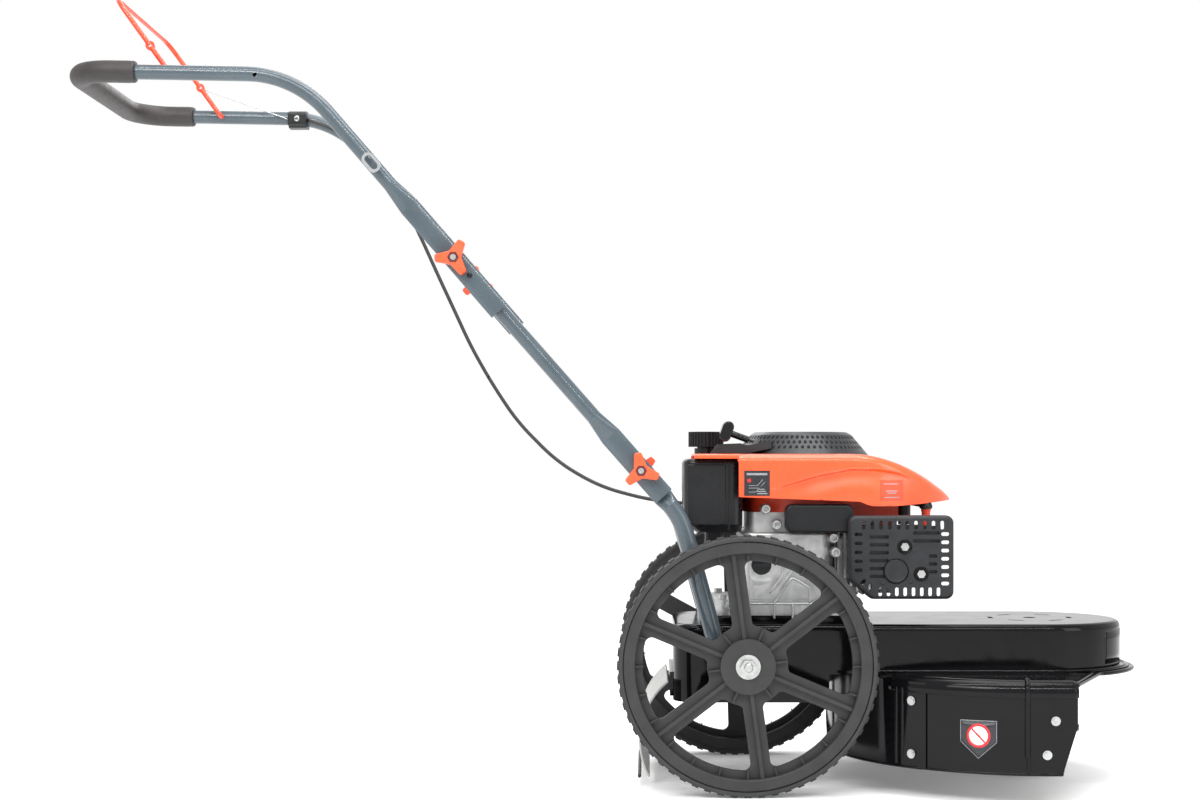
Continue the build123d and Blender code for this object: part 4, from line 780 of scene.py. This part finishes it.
def round_ring(sign, around, reach, height):
    """Point at a reach from the shields' common middle, around degrees back from forward."""
    angle = math.radians(around)
    return Vector((RING_X + reach * math.cos(angle), sign * reach * math.sin(angle), height))


def shoulder_point(tilt, radius):
    """Reach and height of a point on the shoulder's section."""
    angle = math.radians(tilt)
    return SHOULDER_REACH + radius * math.cos(angle), SHOULDER_Z + radius * math.sin(angle)


def shoulder_roll(side, sign):
    """Rolled shoulder where a shield turns into the deck plate."""
    low, high, steps, wall = -20, 105, 14, 0.0014
    tilts = [low + (high - low) * k / steps for k in range(steps + 1)]
    section = [shoulder_point(tilt, SHOULDER_R) for tilt in tilts]
    section += [shoulder_point(tilt, SHOULDER_R - wall) for tilt in reversed(tilts)]
    front, sweep, count = 84.3, 54.7, 44
    verts = [round_ring(sign, front + sweep * i / count, reach, height)
             for i in range(count + 1) for reach, height in section]
    wide = len(section)
    faces = []
    for i in range(count):
        for k in range(wide):
            a = i * wide + k
            b = i * wide + (k + 1) % wide
            faces.append((a, b, b + wide, a + wide))
    faces.append(tuple(range(wide - 1, -1, -1)))
    faces.append(tuple(range(count * wide, count * wide + wide)))
    roll = piece(f"shoulder_{side}", verts, faces, DECK, "deck")


def shield_rib(side, sign):
    """Pressed rib that climbs the shield and runs over the shoulder."""
    around, face_r, foot, climb, rib_r, taper = 98.2, 0.2782, 0.062, 0.082, 0.0036, 0.004
    run = [(face_r, foot + climb * i / 20) for i in range(21)]
    run += [shoulder_point(tilt, SHOULDER_R + 0.0006) for tilt in range(0, 96, 6)]
    path = [round_ring(sign, around, reach, height) for reach, height in run]
    total = run_length(path)

    def radius(along):
        return rib_r * math.sqrt(max(0.02, min(1, along / taper, (total - along) / taper)))

    deck_bead(f"shield_rib_{side}", path, radius, 16)


def nose_panel():
    """Plain panel round the housing's nose."""
    for name, radius, low, high, reach, material in (
            ("nose_panel", 0.1294, 0.1700, 0.2150, 46, DECK),
            ("nose_panel_edge", 0.1292, 0.1692, 0.2158, 46.5, LABEL)):
        verts = []
        for i in range(49):
            angle = math.radians(reach * (2 * i / 48 - 1))
            for k in range(5):
                verts.append(Vector((HEAD_X + radius * math.cos(angle), radius * math.sin(angle),
                                     low + (high - low) * k / 4)))
        faces = []
        for i in range(48):
            for k in range(4):
                a = i * 5 + k
                faces.append((a, a + 5, a + 6, a + 1))
        film(name, verts, faces, material, 0.0003)


def film(name, verts, faces, material, thickness=0.0002):
    """Thin skin on the deck, such as a sticker."""
    skin = piece(name, verts, faces, material, None)
    wall = skin.modifiers.new("film", "SOLIDIFY")
    wall.thickness = thickness
    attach(skin, "deck")


def on_shield(sign, along, height, lift):
    """Point on a side shield: along runs forward round it from the sticker's middle."""
    radius = SHIELD_R + lift
    sticker_x = 0.4913
    start = math.acos((sticker_x - RING_X) / SHIELD_R)
    angle = start - along / SHIELD_R
    return Vector((RING_X + radius * math.cos(angle), sign * radius * math.sin(angle), height))


def shield_film(name, sign, columns, lift, material):
    """Film on the shield; columns are (along, low, high) from rear to front."""
    verts = []
    for along, low, high in columns:
        for i in range(5):
            verts.append(on_shield(sign, along, low + (high - low) * i / 4, lift))
    faces = []
    for c in range(len(columns) - 1):
        for i in range(4):
            a = c * 5 + i
            faces.append((a, a + 5, a + 6, a + 1))
    film(name, verts, faces, material)


def shield_ring(name, sign, height, inner, outer, lift, material):
    """Flat ring on the shield."""
    count = 64
    verts = []
    for i in range(count + 1):
        angle = 2 * math.pi * i / count
        for radius in (inner, outer):
            verts.append(on_shield(sign, radius * math.cos(angle),
                                   height + radius * math.sin(angle), lift))
    faces = [(2 * i, 2 * i + 1, 2 * i + 3, 2 * i + 2) for i in range(count)]
    film(name, verts, faces, material)


def shield_decal(side, sign):
    """Plain five-sided sticker with a red ring; the ring holds only a bar."""
    top, half = 0.1115, 0.0245
    point, side_height, line = 0.0510, 0.0288, 0.0009
    ground, print_lift, ring_lift = 0.0003, 0.0005, 0.0007
    columns = []
    for i in range(17):
        along = -half + 2 * half * i / 16
        columns.append((along, top - point + 0.0222 * abs(along) / half, top))
    lower_line = [(along, low, low + line) for along, low, _ in columns]
    upper_line = [(along, top - line, top) for along, _, _ in columns]
    shield_film(f"decal_{side}", sign, columns, ground, LABEL)
    shield_film(f"decal_point_{side}", sign, lower_line, print_lift, LABEL_GREY)
    shield_film(f"decal_top_{side}", sign, upper_line, print_lift, LABEL_GREY)
    for name, along in (("rear", -half), ("front", half - 0.0008)):
        upright = [(along, top - side_height, top), (along + 0.0008, top - side_height, top)]
        shield_film(f"decal_{name}_{side}", sign, upright, print_lift, LABEL_GREY)
    middle = top - 0.0205
    shield_ring(f"decal_disc_{side}", sign, middle, 0.0001, 0.0135, print_lift, LABEL_PALE)
    shield_ring(f"decal_ring_{side}", sign, middle, 0.0128, 0.0162, ring_lift, LABEL_RED)
    bar_half = 0.0016
    bar = []
    for step in range(-9, 10, 3):
        along = step / 1000
        bar.append((along, middle - along - bar_half, middle - along + bar_half))
    shield_film(f"decal_bar_{side}", sign, bar, ring_lift, LABEL_RED)


def flap_lip():
    """Black rubber lip along the rear flap's lower edge."""
    low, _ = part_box("rear_flap")
    half_width = 118
    path = [Vector((low[0] + 0.0010, y / 1000, low[2] + 0.0020))
            for y in range(-half_width, half_width + 1, 4)]
    lip = tube("flap_lip", path, 0.0026, RUBBER, "deck", sides=12)


deck_beads()
for shield_side, shield_sign in (("right", -1), ("left", 1)):
    shoulder_roll(shield_side, shield_sign)
    shield_rib(shield_side, shield_sign)
nose_panel()
shield_decal("right", -1)
shield_decal("left", 1)
flap_lip()


# ---------------------------------------------------------------- stage, light and camera

def softbox(name, place, aim, width, height, power):
    """White rectangular lamp at a place, turned towards the aim."""
    data = bpy.data.lights.new(name, "AREA")
    data.shape = "RECTANGLE"
    data.size = width
    data.size_y = height
    data.energy = power
    lamp = bpy.data.objects.new(name, data)
    bpy.context.scene.collection.objects.link(lamp)
    lamp.location = place
    lamp.rotation_mode = "QUATERNION"
    lamp.rotation_quaternion = (Vector(aim) - Vector(place)).to_track_quat("-Z", "Y")


def studio():
    """White surroundings, a pale floor, four softboxes and two strips that draw lines on the paint."""
    scene = bpy.context.scene
    world = bpy.data.worlds.new("studio")
    scene.world = world
    world.use_nodes = True
    backdrop = world.node_tree.nodes["Background"]
    backdrop.inputs["Color"].default_value = (1, 1, 1, 1)
    backdrop.inputs["Strength"].default_value = 1.0
    floor_paint = finish("studio_floor", "#fdfdfd", "#fbfbfb", 0.6, patch=3, grain=40, bump=0.02)
    floor_shader = floor_paint.node_tree.nodes["Principled BSDF"]
    floor_shader.inputs["Emission Color"].default_value = (1, 1, 1, 1)
    floor_shader.inputs["Emission Strength"].default_value = 0.12
    reach = 30
    corners = [(-reach, -reach, 0), (reach, -reach, 0), (reach, reach, 0), (-reach, reach, 0)]
    floor = piece("studio_floor", corners, [(0, 1, 2, 3)], floor_paint, None, smooth=False)
    middle = (0.0, 0.0, 0.45)
    # name, place, aim, width, height and watts
    softbox("key", (-1.6, -2.6, 2.6), middle, 1.8, 1.2, 38)
    softbox("top", (0.3, 0.2, 3.0), middle, 2.6, 1.6, 45)
    softbox("fill", (2.4, -1.8, 1.2), middle, 1.0, 1.6, 16)
    softbox("rim", (-0.5, 2.6, 2.0), middle, 2.4, 1.0, 20)
    softbox("strip_front", (0.1, -2.6, 2.3), middle, 3.2, 0.07, 42)
    softbox("strip_top", (0.2, -0.9, 3.0), middle, 3.2, 0.08, 34)
    scene.view_settings.view_transform = "Standard"


def camera():
    """Level camera on the machine's right, with the picture shifted as the photograph's crop is."""
    data = bpy.data.cameras.new("camera")
    data.lens = 57.69
    data.sensor_width = 36.0
    data.clip_end = 100
    view = bpy.data.objects.new("camera", data)
    bpy.context.scene.collection.objects.link(view)
    view.location = (0.0514, -2.818, 0.4513)
    view.rotation_euler = (math.radians(90), 0, 0)
    data.shift_x = -0.04
    data.shift_y = 0.0542
    bpy.context.scene.camera = view


studio()
camera()
